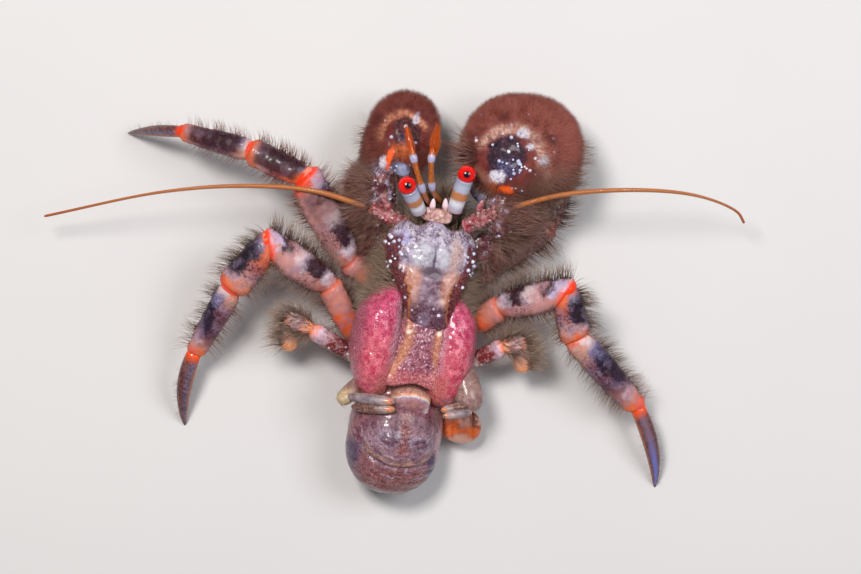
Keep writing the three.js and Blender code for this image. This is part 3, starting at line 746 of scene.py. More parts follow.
def cover_paint(n):
    place = n.place()
    spot = n.wander(place, 0.8, 1.6)
    x, y, z = n.split(spot)
    inner = 5.6 - abs(x)
    patch = n.cloud(place, 0.9, 2, 0.65, 4)
    fine = n.cloud(place, 0.24, 6, 0.8)
    grain = n.cloud(place, 0.13, 11, 0.8, 2)
    magenta = patch.tint(0.36, 0.64, (0.4, 0.016, 0.085), (0.68, 0.11, 0.22))
    salmon = patch.tint(0.36, 0.64, (0.46, 0.03, 0.08), (0.7, 0.16, 0.2))
    # The fine pale flecks laid over the pink are painted glints of the wet surface; the dark speckles are its
    # own colour.
    pink = n.layers(
        y.tint(-1.5, -7.5, magenta, salmon),
        (fine.step(0.53, 0.6) * 0.8, (0.2, 0.008, 0.036)),
        (grain.step(0.56, 0.66) * 0.6, (0.88, 0.46, 0.5)),
    )
    mauve = n.layers(
        fine.tint(0.42, 0.58, (0.17, 0.02, 0.055), (0.62, 0.32, 0.39)),
        (grain.step(0.54, 0.64) * 0.8, (0.86, 0.74, 0.8)),
    )
    inside = inner.step(1, 2.3) * y.step(2, -0.5) * y.step(-11, -8.5)
    colour = n.mix(inside * 0.85, pink, mauve)
    dusk = fine.tint(0.43, 0.6, (0.17, 0.022, 0.045), (0.52, 0.19, 0.26))
    rosy = fine.tint(0.42, 0.62, (0.34, 0.045, 0.065), (0.64, 0.25, 0.2))
    speck = n.dots(place, 0.75, 0.14, 1)
    crease = abs(n.cloud(n.join(x * 0.4 - y * 0.35, y, z), 2.6, 31, 0.4, 1) - 0.5).step(0.01, 0)
    low = z.step(1, -1.2)
    colour = n.layers(
        colour,
        (inner.step(-1.5, -2.9) * 0.8, dusk),
        ((y - inner * 0.9).step(-9.5, -12.5) * inner.step(-0.8, 1.2) * 0.85, rosy),
        (speck * 0.85, patch.tint(0.55, 0.62, (0.13, 0.006, 0.022), (0.86, 0.72, 0.78))),
        (crease * 0.5, (0.24, 0.015, 0.04)),
        (low * 0.85, patch.tint(0.4, 0.6, (0.17, 0.06, 0.08), (0.38, 0.2, 0.23))),
    )
    return colour, fine.step(0.3, 0.7) * 0.3 + 0.22, fine * 0.06 + patch * 0.06


cover_finish = wet_paint(
    "gill_cover_shell", cover_paint, rough=0.3, coat=0.4, soft=0.12, bump=0.8, glow=(1.0, 0.25, 0.3)
)
for name, side in SIDES.items():
    shape = dome(-14.1, 3.1, cover_section(side), 0.95)
    cover = make("gill_cover_shell_" + name, [body_loft(shape, 120, 90, cover_relief(side))], cover_finish)
    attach(cover, "root")
    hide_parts("gill_cover_" + name)

# ---------------------------------------------------------------- the saddle plate and the tail fan
# The abdomen's first plate is a small translucent saddle with an orange-white front rim. At the other end of
# the abdomen the tail fan is a middle plate and two narrow side plates, orange-red with pale blotches.


def saddle_section(y):
    width = 2.9 * rounded(y, 6)
    return 0.6, width, 2, blend(0.3, 2.35, smooth(y, -1, 0.45)) * rounded(np.maximum(y, 0), 5), 1.2


def saddle_relief(p):
    move = np.zeros_like(p)
    x = p[:, 0] - 0.5
    move[:, 1] = 0.8 * (hump(x, 0, 2.6) - 0.5) * smooth(p[:, 1], -13.6, -12.2)
    wavy = 0.08 * lumps(p, 1.1, 21) + 0.04 * lumps(p, 0.5, 22) + 0.15 * hump(p[:, 1], -12.9, 0.4)
    move[:, 2] = wavy * smooth(p[:, 2], 2.2, 3.2)
    return move


saddle = make("saddle_plate", [body_loft(dome(-16.6, -12.1, saddle_section, 0.75), 70, 70, saddle_relief)])


def saddle_paint(n):
    place = n.place()
    spot = n.wander(place, 0.35, 0.9)
    x, y, _ = n.split(spot)
    blotch = n.cloud(place, 1, 0, 0.6, 4)
    fine = n.cloud(place, 0.26, 3, 0.75)
    bow = y + (x - 0.6) * (x - 0.6) * 0.1
    colour = n.layers(
        blotch.tint(0.35, 0.65, (0.32, 0.13, 0.15), (0.52, 0.29, 0.3)),
        (n.near(spot, 1, -14.2, 1, 1.4) * 0.5, (0.36, 0.12, 0.1)),
        (fine.step(0.54, 0.68) * 0.6, (0.6, 0.46, 0.52)),
        (fine.step(0.44, 0.34) * 0.6, (0.14, 0.05, 0.08)),
        (bow.step(-12.75, -12.45) * 0.9, fine.tint(0.4, 0.6, (0.26, 0.1, 0.075), (0.5, 0.27, 0.21))),
        (bow.hump(-12.62, 0.32) * blotch.step(0.3, 0.5) * 0.85, (0.8, 0.33, 0.15)),
        (bow.hump(-12.92, 0.26) * 0.85, (0.82, 0.69, 0.64)),
        (bow.hump(-13.2, 0.2) * 0.6, (0.34, 0.3, 0.48)),
        (n.near(spot, 3.2, -15, 0.5, 0.8) * 0.7, (0.72, 0.62, 0.66)),
    )
    return colour, None, fine * 0.06


saddle.data.materials.append(
    wet_paint("saddle_shell", saddle_paint, rough=0.4, coat=0.25, soft=0.2, bump=0.7)
)
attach(saddle, "root")
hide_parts("abdomen_saddle")


def egg(a, b, wide, thick, bluntness=2, upright=(0, 0, 1)):
    """An egg between two points: place(along, angle) for loft, with along from a to b and angle 0 across."""
    a, b = np.array(a, float), np.array(b, float)
    across, out = sides_of(b - a, upright)

    def place(along, angle):
        y = -np.cos(np.pi * np.clip(along, 0.003, 0.997))
        swell = rounded(y, bluntness)[..., None]
        middle = (a + b) / 2 + (b - a) / 2 * y[..., None]
        return middle + swell * (
            across * np.cos(angle)[..., None] * wide + out * np.sin(angle)[..., None] * thick
        )

    return place


def fan_relief(part):
    """Shallow creases where the middle plate overlaps its neighbours."""
    p = part["points"]
    crease = hump(p[:, 0], 3, 0.22) + hump(p[:, 0], 6, 0.22)
    p[:, 2] -= (0.35 * crease - 0.1 * lumps(p, 1.2, 61)) * smooth(p[:, 2], 3.4, 4.2)
    return part


def fan_paint(n):
    spot = n.wander(n.where(), 0.9, 1.3)
    x, y, _ = n.split(spot)
    blotch = n.cloud(spot, 1.3)
    fine = n.cloud(spot, 0.3, 3, 0.7)
    low = y + (x - 4.6) * (x - 4.6) * 0.13
    colour = blotch.tint(0.35, 0.65, (0.4, 0.05, 0.012), (0.66, 0.15, 0.035))
    dark = fine.tint(0.4, 0.6, (0.085, 0.014, 0.01), (0.26, 0.075, 0.045))
    colour = n.layers(
        colour,
        ((low + x * 0.25).step(-19, -17.4) * 0.85, dark),
        (n.near(spot, 5.2, -19.9, 0.8, 0.75, 0.9) * 0.7, (0.68, 0.4, 0.36)),
        ((low - x * 0.1).hump(-21.2, 0.7) * 0.8, (0.86, 0.15, 0.02)),
        (low.step(-20.9, -22.2) + x.step(6.7, 7.5), (0.62, 0.34, 0.27)),
        (fine.step(0.55, 0.68) * 0.5, (0.74, 0.46, 0.38)),
        (fine.step(0.44, 0.34) * 0.5, (0.16, 0.03, 0.015)),
    )
    return colour, None, fine * 0.08


fan_shape = egg((4.9, -17.6, 4.6), (3.9, -22.7, 3.3), 3, 1.15, 2.15)
fan = make("tail_fan_plates", [fan_relief(loft(fan_shape, 90, 80))])
fan.data.materials.append(wet_paint("tail_fan_shell", fan_paint, rough=0.32, coat=0.45, soft=0.15, bump=0.6))
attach(fan, "root")
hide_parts("telson", "uropod_left", "uropod_right")

# ---------------------------------------------------------------- the eyes
# Each eye is a bright red lens on a pale blue-grey stalk with one orange-brown band. The stalks stand on a
# small knobbly ring, which also bears two flat pointed white scales between them.


def beads(places, radius):
    """Little rounded lumps, one loft each."""
    for x, y, z in places:
        yield loft(egg((x, y - radius, z), (x, y + radius, z), radius, radius * 0.9), 12, 12)


ring_lumps = [
    (0.9 + 1.9 * np.sin(a), 10.4 - 0.5 * np.cos(3 * a), 12 - 0.3 * a * a) for a in np.linspace(-1.4, 1.4, 9)
]
ring_parts = [loft(egg((0.6, 9.2, 11.2), (1, 11.2, 11.7), 2.3, 0.7, 3), 40, 50)]
ring_parts += list(beads(ring_lumps, 0.45))
for side in (-1, 1):
    root, point = (1.1 + 0.95 * side, 10.5, 12.1), (1.3 + 0.85 * side, 12.6, 12.8)
    ring_parts.append(loft(egg(root, point, 0.43, 0.3, 1.6), 24, 20))
eye_ring = make("eye_ring_shell", ring_parts)


def ring_paint(n):
    where = n.where()
    y = n.split(where)[1]
    fine = n.cloud(where, 0.6, 0, 0.7)
    colour = n.layers(
        fine.tint(0.35, 0.65, (0.4, 0.17, 0.14), (0.7, 0.48, 0.45)),
        (y.step(11, 11.6), (0.8, 0.6, 0.66)),
    )
    return colour, None, fine * 0.06


eye_ring.data.materials.append(
    wet_paint("eye_ring_shell", ring_paint, rough=0.35, coat=0.5, soft=0.2, bump=0.5)
)
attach(eye_ring, "root")
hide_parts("eye_ring")

LENS_RADIUS = 1.3


def stalk_paint(n):
    along = n.attribute("along")
    where = n.where()
    fine = n.cloud(where, 0.4, 0, 0.65)
    spot = along + (fine - 0.5) * 0.14
    band = spot.step(0.37, 0.43) * spot.step(0.66, 0.58)
    colour = n.layers(
        spot.tint(0.22, 0.05, (0.4, 0.42, 0.56), (0.46, 0.3, 0.32)),
        (spot.hump(0.3, 0.14) * 0.8, (0.8, 0.77, 0.77)),
        (spot.step(0.62, 0.74) * 0.85, (0.44, 0.45, 0.56)),
        (band * 0.92, n.mix(fine, (0.42, 0.125, 0.015), (0.58, 0.22, 0.05))),
        (spot.step(0.8, 0.92) * 0.7, (0.25, 0.27, 0.38)),
    )
    return colour, None, fine * 0.03


def lens_paint(n, middle, pupil, foot):
    where = n.where()
    fine = n.cloud(where, 0.22, 0, 0.7)
    gap = n.vector("DISTANCE", where, pupil, out="Value")
    down = n.vector("DOT_PRODUCT", n.vector("SUBTRACT", where, middle), foot, out="Value")
    colour = n.layers(
        fine.tint(0.4, 0.68, (0.92, 0.008, 0.003), (0.5, 0.003, 0.003)),
        (gap.hump(0.62, 0.22) * 0.5, (0.3, 0.002, 0.002)),
        (gap.step(0.56, 0.42), (0.004, 0.002, 0.006)),
        ((down + (fine - 0.5) * 0.2).step(0.72, 0.86), (0.5, 0.5, 0.62)),
    )
    return colour, 0.14, fine * 0.01


stalk_finish = wet_paint(
    "eyestalk_shell", stalk_paint, rough=0.3, coat=0.7, soft=0.25, bump=0.3, glow=(0.7, 0.6, 0.7)
)
for name, eye in EYES.items():
    foot, top = np.array(eye["foot"]), np.array(eye["top"])
    up = unit(top - foot)
    stem_way = curve([foot, (foot + top) / 2, top - up * 0.55])
    stalk_shape = rod(stem_way, lambda t: 1.12 + 0.09 * smooth(t, 0.2, 0.5), 0.08)
    stalk = make("eyestalk_shell_" + name, [loft(stalk_shape, 60, 32)], stalk_finish)
    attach(stalk, "root")
    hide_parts("eyestalk_" + name)
    pupil = top + LENS_RADIUS * unit([0.12 if name == "left" else 0.02, -0.05, 1])
    lens_finish = wet_paint(
        "eye_lens_" + name, lens_paint, tuple(top), tuple(pupil), tuple(-up), rough=0.14, coat=0.6
    )
    lens_shape = egg(top - up * LENS_RADIUS, top + up * LENS_RADIUS, LENS_RADIUS, LENS_RADIUS)
    lens = make("eye_lens_" + name, [loft(lens_shape, 56, 48)], lens_finish)
    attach(lens, "root")
    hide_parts("eye_" + name)

# ---------------------------------------------------------------- bristles and pearls
# Most of the crab is set with stiff bristles, each a thin tapered curved spike of its own. Pale pearly warts
# stand between them. Both are scattered over a piece where its marks say, and take their colour from its
# paint.


# How wide a strand's or a wart's own patch of the OFBake map is.
PATCH = 0.003


def scatter_tree(name, sizes, build):
    """A Geometry Nodes tree whose named inputs are sizes, a seed and a finish, with build as its middle."""
    tree = bpy.data.node_groups.new(name, "GeometryNodeTree")
    sockets = [
        ("Skin", "Geometry"), *((size, "Float") for size in sizes), ("Seed", "Int"), ("Finish", "Material")
    ]
    for label, kind in sockets:
        tree.interface.new_socket(label, in_out="INPUT", socket_type="NodeSocket" + kind)
    tree.interface.new_socket("Scattered", in_out="OUTPUT", socket_type="NodeSocketGeometry")
    n = Nodes(tree)
    given = n.node("NodeGroupInput")
    n.node("NodeGroupOutput", None, {"Scattered": build(n, given)})
    return tree


def marked(obj, name):
    """The numbers marked on an object's vertices."""
    values = np.empty(len(obj.data.vertices))
    obj.data.attributes[name].data.foreach_get("value", values)
    return values


def on_skin(n, kind, name):
    return n.node("GeometryNodeInputNamedAttribute", {"data_type": kind}, {"Name": name})


def random_share(n, low, high, seed):
    return n.node("FunctionNodeRandomValue", {"data_type": "FLOAT"}, {2: low, 3: high, "Seed": seed}, 1)


def keep(n, geometry, kind, domain, name, value):
    inputs = {"Geometry": geometry, "Name": name, "Value": value}
    return n.node("GeometryNodeStoreNamedAttribute", {"data_type": kind, "domain": domain}, inputs)


def scattered(n, given, thing, density_mark, spin, size):
    """Copies of a thing over the skin, made one mesh, each with its own small patch of the OFBake map."""
    # A density is for a square millimetre, and a tree counts on a square metre.
    per_area = given.out("density") * 1000000.0 * on_skin(n, "FLOAT", density_mark)
    inputs = {"Mesh": given.out("Skin"), "Density": per_area, "Seed": given.out("Seed")}
    points = n.node("GeometryNodeDistributePointsOnFaces", None, inputs)
    rooted = keep(n, points, "FLOAT_VECTOR", "POINT", "root", on_skin(n, "FLOAT_VECTOR", "OFBake"))
    clean = n.node("GeometryNodeRemoveAttribute", None, {"Geometry": rooted, "Name": "OFBake"})
    inputs = {"Points": clean, "Instance": thing, "Rotation": spin(points.out("Normal")), "Scale": size}
    real = n.node(
        "GeometryNodeRealizeInstances", None, [n.node("GeometryNodeInstanceOnPoints", None, inputs)]
    )
    x, y, z = n.split(n.node("GeometryNodeInputPosition"))
    inputs = {"Geometry": real, "Position": n.join(x, y, z.math("MAXIMUM", 0))}
    real = n.node("GeometryNodeSetPosition", None, inputs)
    patch = n.scaled(n.vector("SUBTRACT", on_skin(n, "FLOAT_VECTOR", "strand"), (0.5, 0.5, 0)), PATCH)
    flat = n.vector("ADD", on_skin(n, "FLOAT_VECTOR", "root"), patch)
    mapped = keep(n, real, "FLOAT2", "CORNER", "OFBake", flat)
    smooth_shaded = n.node("GeometryNodeSetShadeSmooth", None, {"Geometry": mapped})
    return n.node(
        "GeometryNodeSetMaterial", None, {"Geometry": smooth_shaded, "Material": given.out("Finish")}
    )


def bristle(segments):
    def build(n, given):
        ratio = given.out("thickness") / given.out("length") * 0.5
        inputs = {
            "Vertices": 3, "Side Segments": segments, "Radius Bottom": ratio, "Radius Top": 0, "Depth": 1
        }
        cone = n.node("GeometryNodeMeshCone", {"fill_type": "NGON"}, inputs)
        x, _, z = n.split(n.node("GeometryNodeInputPosition"))
        cone = keep(n, cone, "FLOAT_VECTOR", "POINT", "strand", n.join(x / ratio * 0.5 + 0.5, z, 0))
        move = n.join(z * z * given.out("bend"), 0, z * z * given.out("bend") * -0.25 - 0.05)
        thing = n.node("GeometryNodeSetPosition", None, {"Geometry": cone, "Offset": move})
        comb = on_skin(n, "FLOAT_VECTOR", "comb")
        loose = {"Min": (-1,) * 3, "Max": (1,) * 3, "Seed": given.out("Seed") + 7}
        loose = n.node("FunctionNodeRandomValue", {"data_type": "FLOAT_VECTOR"}, loose)

        def spin(normal):
            stray = n.scaled(loose, given.out("spread"))
            way = n.vector("ADD", n.vector("ADD", normal, n.scaled(comb, given.out("lean"))), stray)
            first = n.node("FunctionNodeAlignRotationToVector", {"axis": "Z"}, {"Vector": way})
            turn = {"Rotation": first, "Vector": n.vector("ADD", comb, stray)}
            return n.node("FunctionNodeAlignRotationToVector", {"axis": "X", "pivot_axis": "Z"}, turn)

        share = random_share(n, 0.6, 1.15, given.out("Seed") + 3)
        size = given.out("length") * 0.001 * share * on_skin(n, "FLOAT", "reach")
        return scattered(n, given, thing, "hair", spin, size)

    return build


def pearl(n, given):
    ball = n.node("GeometryNodeMeshUVSphere", None, {"Segments": 8, "Rings": 5, "Radius": 0.5})
    x, y, _ = n.split(n.node("GeometryNodeInputPosition"))
    thing = keep(n, ball, "FLOAT_VECTOR", "POINT", "strand", n.join(x + 0.5, y + 0.5, 0))

    def spin(normal):
        return n.node("FunctionNodeAlignRotationToVector", {"axis": "Z"}, {"Vector": normal})

    size = given.out("size") * 0.001 * random_share(n, 0.5, 1.25, given.out("Seed") + 3)
    return scattered(n, given, thing, "pearl", spin, size)


HAIR_SIZES = ("density", "length", "thickness", "lean", "spread", "bend")
FUR = scatter_tree("short_fur", HAIR_SIZES, bristle(1))
BRISTLE = scatter_tree("stiff_bristles", HAIR_SIZES, bristle(2))
PEARL = scatter_tree("pearly_warts", ("density", "size"), pearl)


def scatter(name, skin, tree, finish, slot, seed, **sizes):
    """One coat piece over a skin. Its density is how many stand on a square millimetre."""
    coat = bpy.data.objects.new(name, skin.data.copy())
    bpy.context.scene.collection.objects.link(coat)
    modifier = coat.modifiers.new(name, "NODES")
    modifier.node_group = tree
    values = {**sizes, "Seed": seed, "Finish": finish}
    for item in tree.interface.items_tree:
        if item.name in values:
            modifier[item.identifier] = values[item.name]
    finished(coat)
    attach(coat, "root")
    return coat


def comb_over(skin, hair, comb, reach=1, pearls=0):
    """Marks where bristles grow on a skin, which way they lie, their share of full length, and its pearls."""
    count = len(skin.data.vertices)
    mark(skin.data, "hair", np.broadcast_to(hair, count))
    mark(skin.data, "comb", np.broadcast_to(comb, (count, 3)))
    mark(skin.data, "reach", np.broadcast_to(reach, count))
    mark(skin.data, "pearl", np.broadcast_to(pearls, count))


def bristle_paint(n, root, middle, tip):
    strand = n.split(n.attribute("strand", "Vector"))[1]
    tone = n.cloud(n.where(), 1.1, 0, 0.6, 2)
    colour = n.layers(
        strand.tint(0, 0.5, root, middle),
        (strand.step(0.45, 1) * (tone * 0.8 + 0.3), tip),
    )
    return colour, None, None


def strand_ends(n, colour, root, root_share, end, end_share, rise=0.4):
    """A strand's colour, darker at its root and paler from rise along it to its end."""
    up = n.split(n.attribute("strand", "Vector"))[1]
    return n.layers(colour, (up.step(0.5, 0) * root_share, root), (up.step(rise, 1) * end_share, end))


def pearl_paint(n):
    tone = n.cloud(n.where(), 1.2, 0, 0.6, 2)
    return tone.tint(0.4, 0.65, (0.46, 0.46, 0.68), (0.86, 0.84, 0.9)), None, None


tan_bristle = wet_paint(
    "tan_bristles", bristle_paint, (0.1, 0.045, 0.035), (0.27, 0.17, 0.12), (0.52, 0.42, 0.32)
)
red_bristle = wet_paint(
    "red_bristles", bristle_paint, (0.1, 0.02, 0.015), (0.2, 0.07, 0.05), (0.48, 0.34, 0.28)
)
pearl_finish = wet_paint("pearly_warts", pearl_paint, rough=0.25, coat=0.9)

# The shield's dark flanks carry round pearls, and a few bristles stand along its front edge.
own = on_body(points_of(shield.data))
off = np.abs(own[:, 0] - 0.3) - 1.2 * smooth(own[:, 1], -3, 3) - 0.9 * smooth(own[:, 1], 5, 8)
flank = smooth(off, 1.9, 2.9) * smooth(own[:, 2], 2.2, 3.2) * smooth(own[:, 1], 10.5, 8.5)
flank *= 0.1 + 0.9 * smooth(own[:, 1], 2.5, 5)
front_edge = smooth(own[:, 1], 8.8, 10.4) * smooth(np.abs(own[:, 0] - 0.3), 1, 3) * smooth(own[:, 2], 1.5, 3)
comb_over(shield, front_edge + 0.25 * flank, BODY_TURN @ np.array([0, 1, 0.2]), 1, flank)
scatter("shield_pearls", shield, PEARL, pearl_finish, "carapace", 3, density=0.8, size=0.58)
scatter(
    "shield_bristles", shield, BRISTLE, tan_bristle, "carapace", 4, density=2.6, length=1.7, thickness=0.08,
    lean=0.9, spread=0.5, bend=0.3,
)
# Bristles also stand out from the trunk between the roots of the legs.
trunk = make("trunk", [body_loft(dome(-14.2, 11.2, thorax_section, 0.85), 60, 60)])
own = on_body(points_of(trunk.data))
between = smooth(np.abs(own[:, 0]), 2.4, 3.4) * smooth(own[:, 1], -4, -2) * smooth(own[:, 1], 10, 8)
combed = BODY_TURN @ np.stack([np.sign(own[:, 0]), np.full(len(own), 0.25), np.full(len(own), 0.1)])
comb_over(trunk, between * smooth(own[:, 2], -3, -1), combed.T)
scatter(
    "trunk_bristles", trunk, BRISTLE, tan_bristle, "soft_abdomen", 8, density=22.0, length=4.6,
    thickness=0.085, lean=0.9, spread=0.5, bend=0.3,
)
bpy.data.objects.remove(trunk)

# ---------------------------------------------------------------- the feelers
# The two short feelers have slim orange-brown pieces between lavender joints, and end in a brush. The two
# long ones are ringed whips on thick hairy crimson stems, and a spine lies beside each stem.
ANTENNULES = {
    "left": [
        (-0.1, 11.7, 10.3), (-1, 13.4, 14.4), (-2.2, 17.4, 16.8), (-2.9, 20.4, 17.2), (-3.4, 22.6, 16.9)
    ],
    "right": [(1.5, 12.2, 10.3), (0.3, 13.8, 14.4), (0.1, 17.5, 16.8), (0.5, 20.4, 17.2), (1, 22.4, 16.9)],
}


def antennule_radius(t):
    joints = 0.17 * (hump(t, 0.34, 0.05) + hump(t, 0.62, 0.045))
    return 0.4 + joints - 0.22 * smooth(t, 0.8, 1)


def antennule_paint(n):
    along = n.attribute("along")
    where = n.where()
    fine = n.cloud(where, 0.3)
    orange = n.layers(
        fine.tint(0.35, 0.65, (0.28, 0.06, 0.012), (0.5, 0.155, 0.03)),
        (along.step(0.66, 0.74), (0.6, 0.085, 0.006)),
    )
    joints = along.hump(0.34, 0.075).step(0.2, 0.6) + along.hump(0.62, 0.065).step(0.2, 0.6)
    colour = n.mix(joints, orange, n.mix(fine, (0.26, 0.24, 0.4), (0.52, 0.5, 0.66)))
    rings = (along * 420).sine().step(-0.4, 0.7) * along.step(0.66, 0.7)
    colour = n.mix(rings * 0.5, colour, (0.55, 0.06, 0.01))
    return colour, None, fine * 0.03


antennule_finish = wet_paint(
    "feeler_shell", antennule_paint, rough=0.3, coat=0.7, soft=0.15, bump=0.3, glow=(0.8, 0.3, 0.1)
)
brush_finish = wet_paint(
    "feeler_brush", bristle_paint, (0.46, 0.055, 0.004), (0.72, 0.115, 0.01), (0.66, 0.22, 0.07), rough=0.4,
    coat=0.2,
)
for name, points in ANTENNULES.items():
    way = curve(points)
    fork = np.array(points[2])
    upper = loft(rod(way, antennule_radius, 0.03), 150, 20)
    end = fork + ((-0.9, 4.4, 0.2) if name == "left" else (1, 3.8, 0.3))
    comb = loft(egg(fork, end, 0.36 if name == "left" else 0.48, 0.28, 1.4), 40, 24)
    comb["marks"]["along"] = comb["marks"]["along"] * 0.3 + 0.7
    antennule = make("short_feeler_" + name, [upper, comb], antennule_finish)
    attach(antennule, "root")
    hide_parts("antennule_" + name)
    grown = marked(antennule, "along")
    bushy = 0.55 if name == "left" else 0.9
    comb_over(antennule, smooth(grown, 0.68, 0.74), unit(end - fork), (1.35 - 0.6 * grown) * bushy)
    scatter(
        "feeler_brush_" + name, antennule, FUR, brush_finish, "feelers", 5, density=110.0, length=1.5,
        thickness=0.05, lean=2.2, spread=0.3, bend=0.15,
    )

STEMS = {
    "left": {
        "stem": [(-3.4, 8.9, 9.6), (-6.2, 10.1, 10.7), (-8.9, 11.4, 11.2)],
        "spine": [(-5.4, 10.6, 10.9), (-6.9, 12.7, 11.9)],
        "whip": [
            (-8.9, 11.4, 11.2), (-17, 13.7, 14), (-26.9, 14.3, 14.6), (-38.3, 13.5, 12.4), (-55.8, 10.2, 7)
        ],
    },
    "right": {
        "stem": [(4.9, 8.6, 9.6), (7.3, 9.6, 10.7), (9.7, 10.7, 11.2)],
        "spine": [(6.7, 10.2, 10.9), (7.4, 12.4, 11.9)],
        "whip": [
            (9.7, 10.7, 11.2), (18.3, 13, 14), (29.5, 13.7, 14.8), (38.2, 12.9, 12.6), (43.9, 10.8, 9.4),
            (45.2, 9.2, 7.6),
        ],
    },
}


def stem_radius(t):
    rings = 0.1 * (hump(t, 0.4, 0.05) + hump(t, 0.78, 0.05))
    creases = 0.1 * (hump(t, 0.47, 0.03) + hump(t, 0.85, 0.03))
    return blend(1.25, 0.85, t) + (rings - creases)


def whip_radius(t):
    base = blend(0.46, 0.2, np.minimum(t / 0.75, 1))
    return base * (1 + 0.05 * np.sin(t * 1000))


def stem_paint(n):
    where = n.where()
    along = n.attribute("along")
    blotch = n.cloud(where, 0.9, 0, 0.65)
    fine = n.cloud(where, 0.25, 3, 0.7)
    colour = n.layers(
        blotch.tint(0.35, 0.6, (0.3, 0.015, 0.035), (0.56, 0.24, 0.26)),
        (n.dots(where, 0.8, 0.22, 3) * 0.9, (0.8, 0.72, 0.76)),
        (along.step(0.86, 0.97) * 0.8, (0.55, 0.12, 0.02)),
        (fine.step(0.55, 0.7) * 0.5, (0.28, 0.02, 0.04)),
    )
    return colour, None, fine * 0.05


def whip_paint(n):
    along = n.attribute("along")
    where = n.where()
    tone = n.cloud(where, 3, 0, 0.5, 2)
    rings = (along * 1000).sine()
    colour = n.layers(
        n.mix(tone, (0.32, 0.08, 0.018), (0.44, 0.145, 0.035)),
        (rings.step(-0.2, 1) * 0.35, (0.54, 0.25, 0.11)),
        (along.step(0.75, 1) * 0.5, (0.34, 0.06, 0.02)),
    )
    return colour, None, None


stem_finish = wet_paint("feeler_stem_shell", stem_paint, rough=0.35, coat=0.6, soft=0.15, bump=0.5)
whip_finish = wet_paint("whip_shell", whip_paint, rough=0.35, coat=0.5, soft=0.1)
for name, side in SIDES.items():
    spec = STEMS[name]
    spine_root, spine_point = (np.array(p) for p in spec["spine"])
    stem_way = curve(spec["stem"])
    parts = [
        loft(rod(stem_way, stem_radius, 0.06), 80, 32),
        loft(egg(spine_root, spine_point, 0.5, 0.36, 1.5), 30, 20),
    ]
    for t in (0.12, 0.3, 0.44, 0.58, 0.74):
        for turn in (-0.8, 0.1, 0.9):
            off = np.array([0.3 * side, turn, 0.85 - 0.3 * abs(turn)]) * (1.1 - 0.3 * t)
            lump = stem_way(np.array(t)) + off
            parts.append(loft(egg(lump, lump + np.array([0.5 * side, 0.7, 0.5]), 0.3, 0.26, 1.7), 12, 12))
    stem = make("feeler_stem_" + name, parts, stem_finish)
    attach(stem, "root")
    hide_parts("antenna_stem_" + name)
    comb_over(stem, 1, unit([0.9 * side, 0.5, 0.2]))
    scatter(
        "stem_bristles_" + name, stem, BRISTLE, tan_bristle, "feeler_stems", 6, density=6.0, length=2.2,
        thickness=0.07, lean=0.8, spread=0.8, bend=0.3,
    )
    whip = make("whip_" + name, [loft(rod(curve(spec["whip"]), whip_radius, 0.01), 1300, 8)], whip_finish)
    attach(whip, "root")
    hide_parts("antenna_whip_" + name)

# ---------------------------------------------------------------- the mouthparts
# The last pair of mouthparts are short bristly arms, which reach forward under the eyes and curl upward.


def mouth_paint(n):
    where = n.where()
    blotch = n.cloud(where, 1)
    fine = n.cloud(where, 0.3, 2, 0.7)
    colour = n.layers(
        blotch.tint(0.35, 0.65, (0.4, 0.13, 0.09), (0.62, 0.36, 0.3)),
        (fine.step(0.55, 0.7) * 0.5, (0.22, 0.06, 0.05)),
    )
    return colour, None, fine * 0.05


mouth_finish = wet_paint("mouthpart_shell", mouth_paint, rough=0.35, coat=0.5, soft=0.1, bump=0.5)
for name, side in SIDES.items():
    way = curve([
        (1.25 * side, 5.4, 5), (0.7 + 1.7 * side, 9, 4.6), (1.1 + 1.6 * side, 11.6, 6.6),
        (1.2 + 1.2 * side, 12.6, 9.2),
    ])
    shape = rod(way, lambda t: blend(1.12, 0.48, t) + 0.08 * np.sin(t * 19), 0.08)
    mouthpart = make("mouthpart_arm_" + name, [loft(shape, 70, 24)], mouth_finish)
    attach(mouthpart, "root")
    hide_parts("mouthpart_" + name)
    comb_over(mouthpart, 1, (0, 0.8, 0.6))
    scatter(
        "mouth_bristles_" + name, mouthpart, BRISTLE, tan_bristle, "small_legs", 7, density=40.0, length=4.8,
        thickness=0.08, lean=0.7, spread=0.9, bend=0.3,
    )

# ---------------------------------------------------------------- the claws
# Each claw is an upper arm, a wrist and a hand whose movable finger lies on its inner side. The right hand
# is much the bigger. Red-brown velvet covers them, round a bare dark middle with pale pearls, and long
# bristles hang from the wrists and arms.

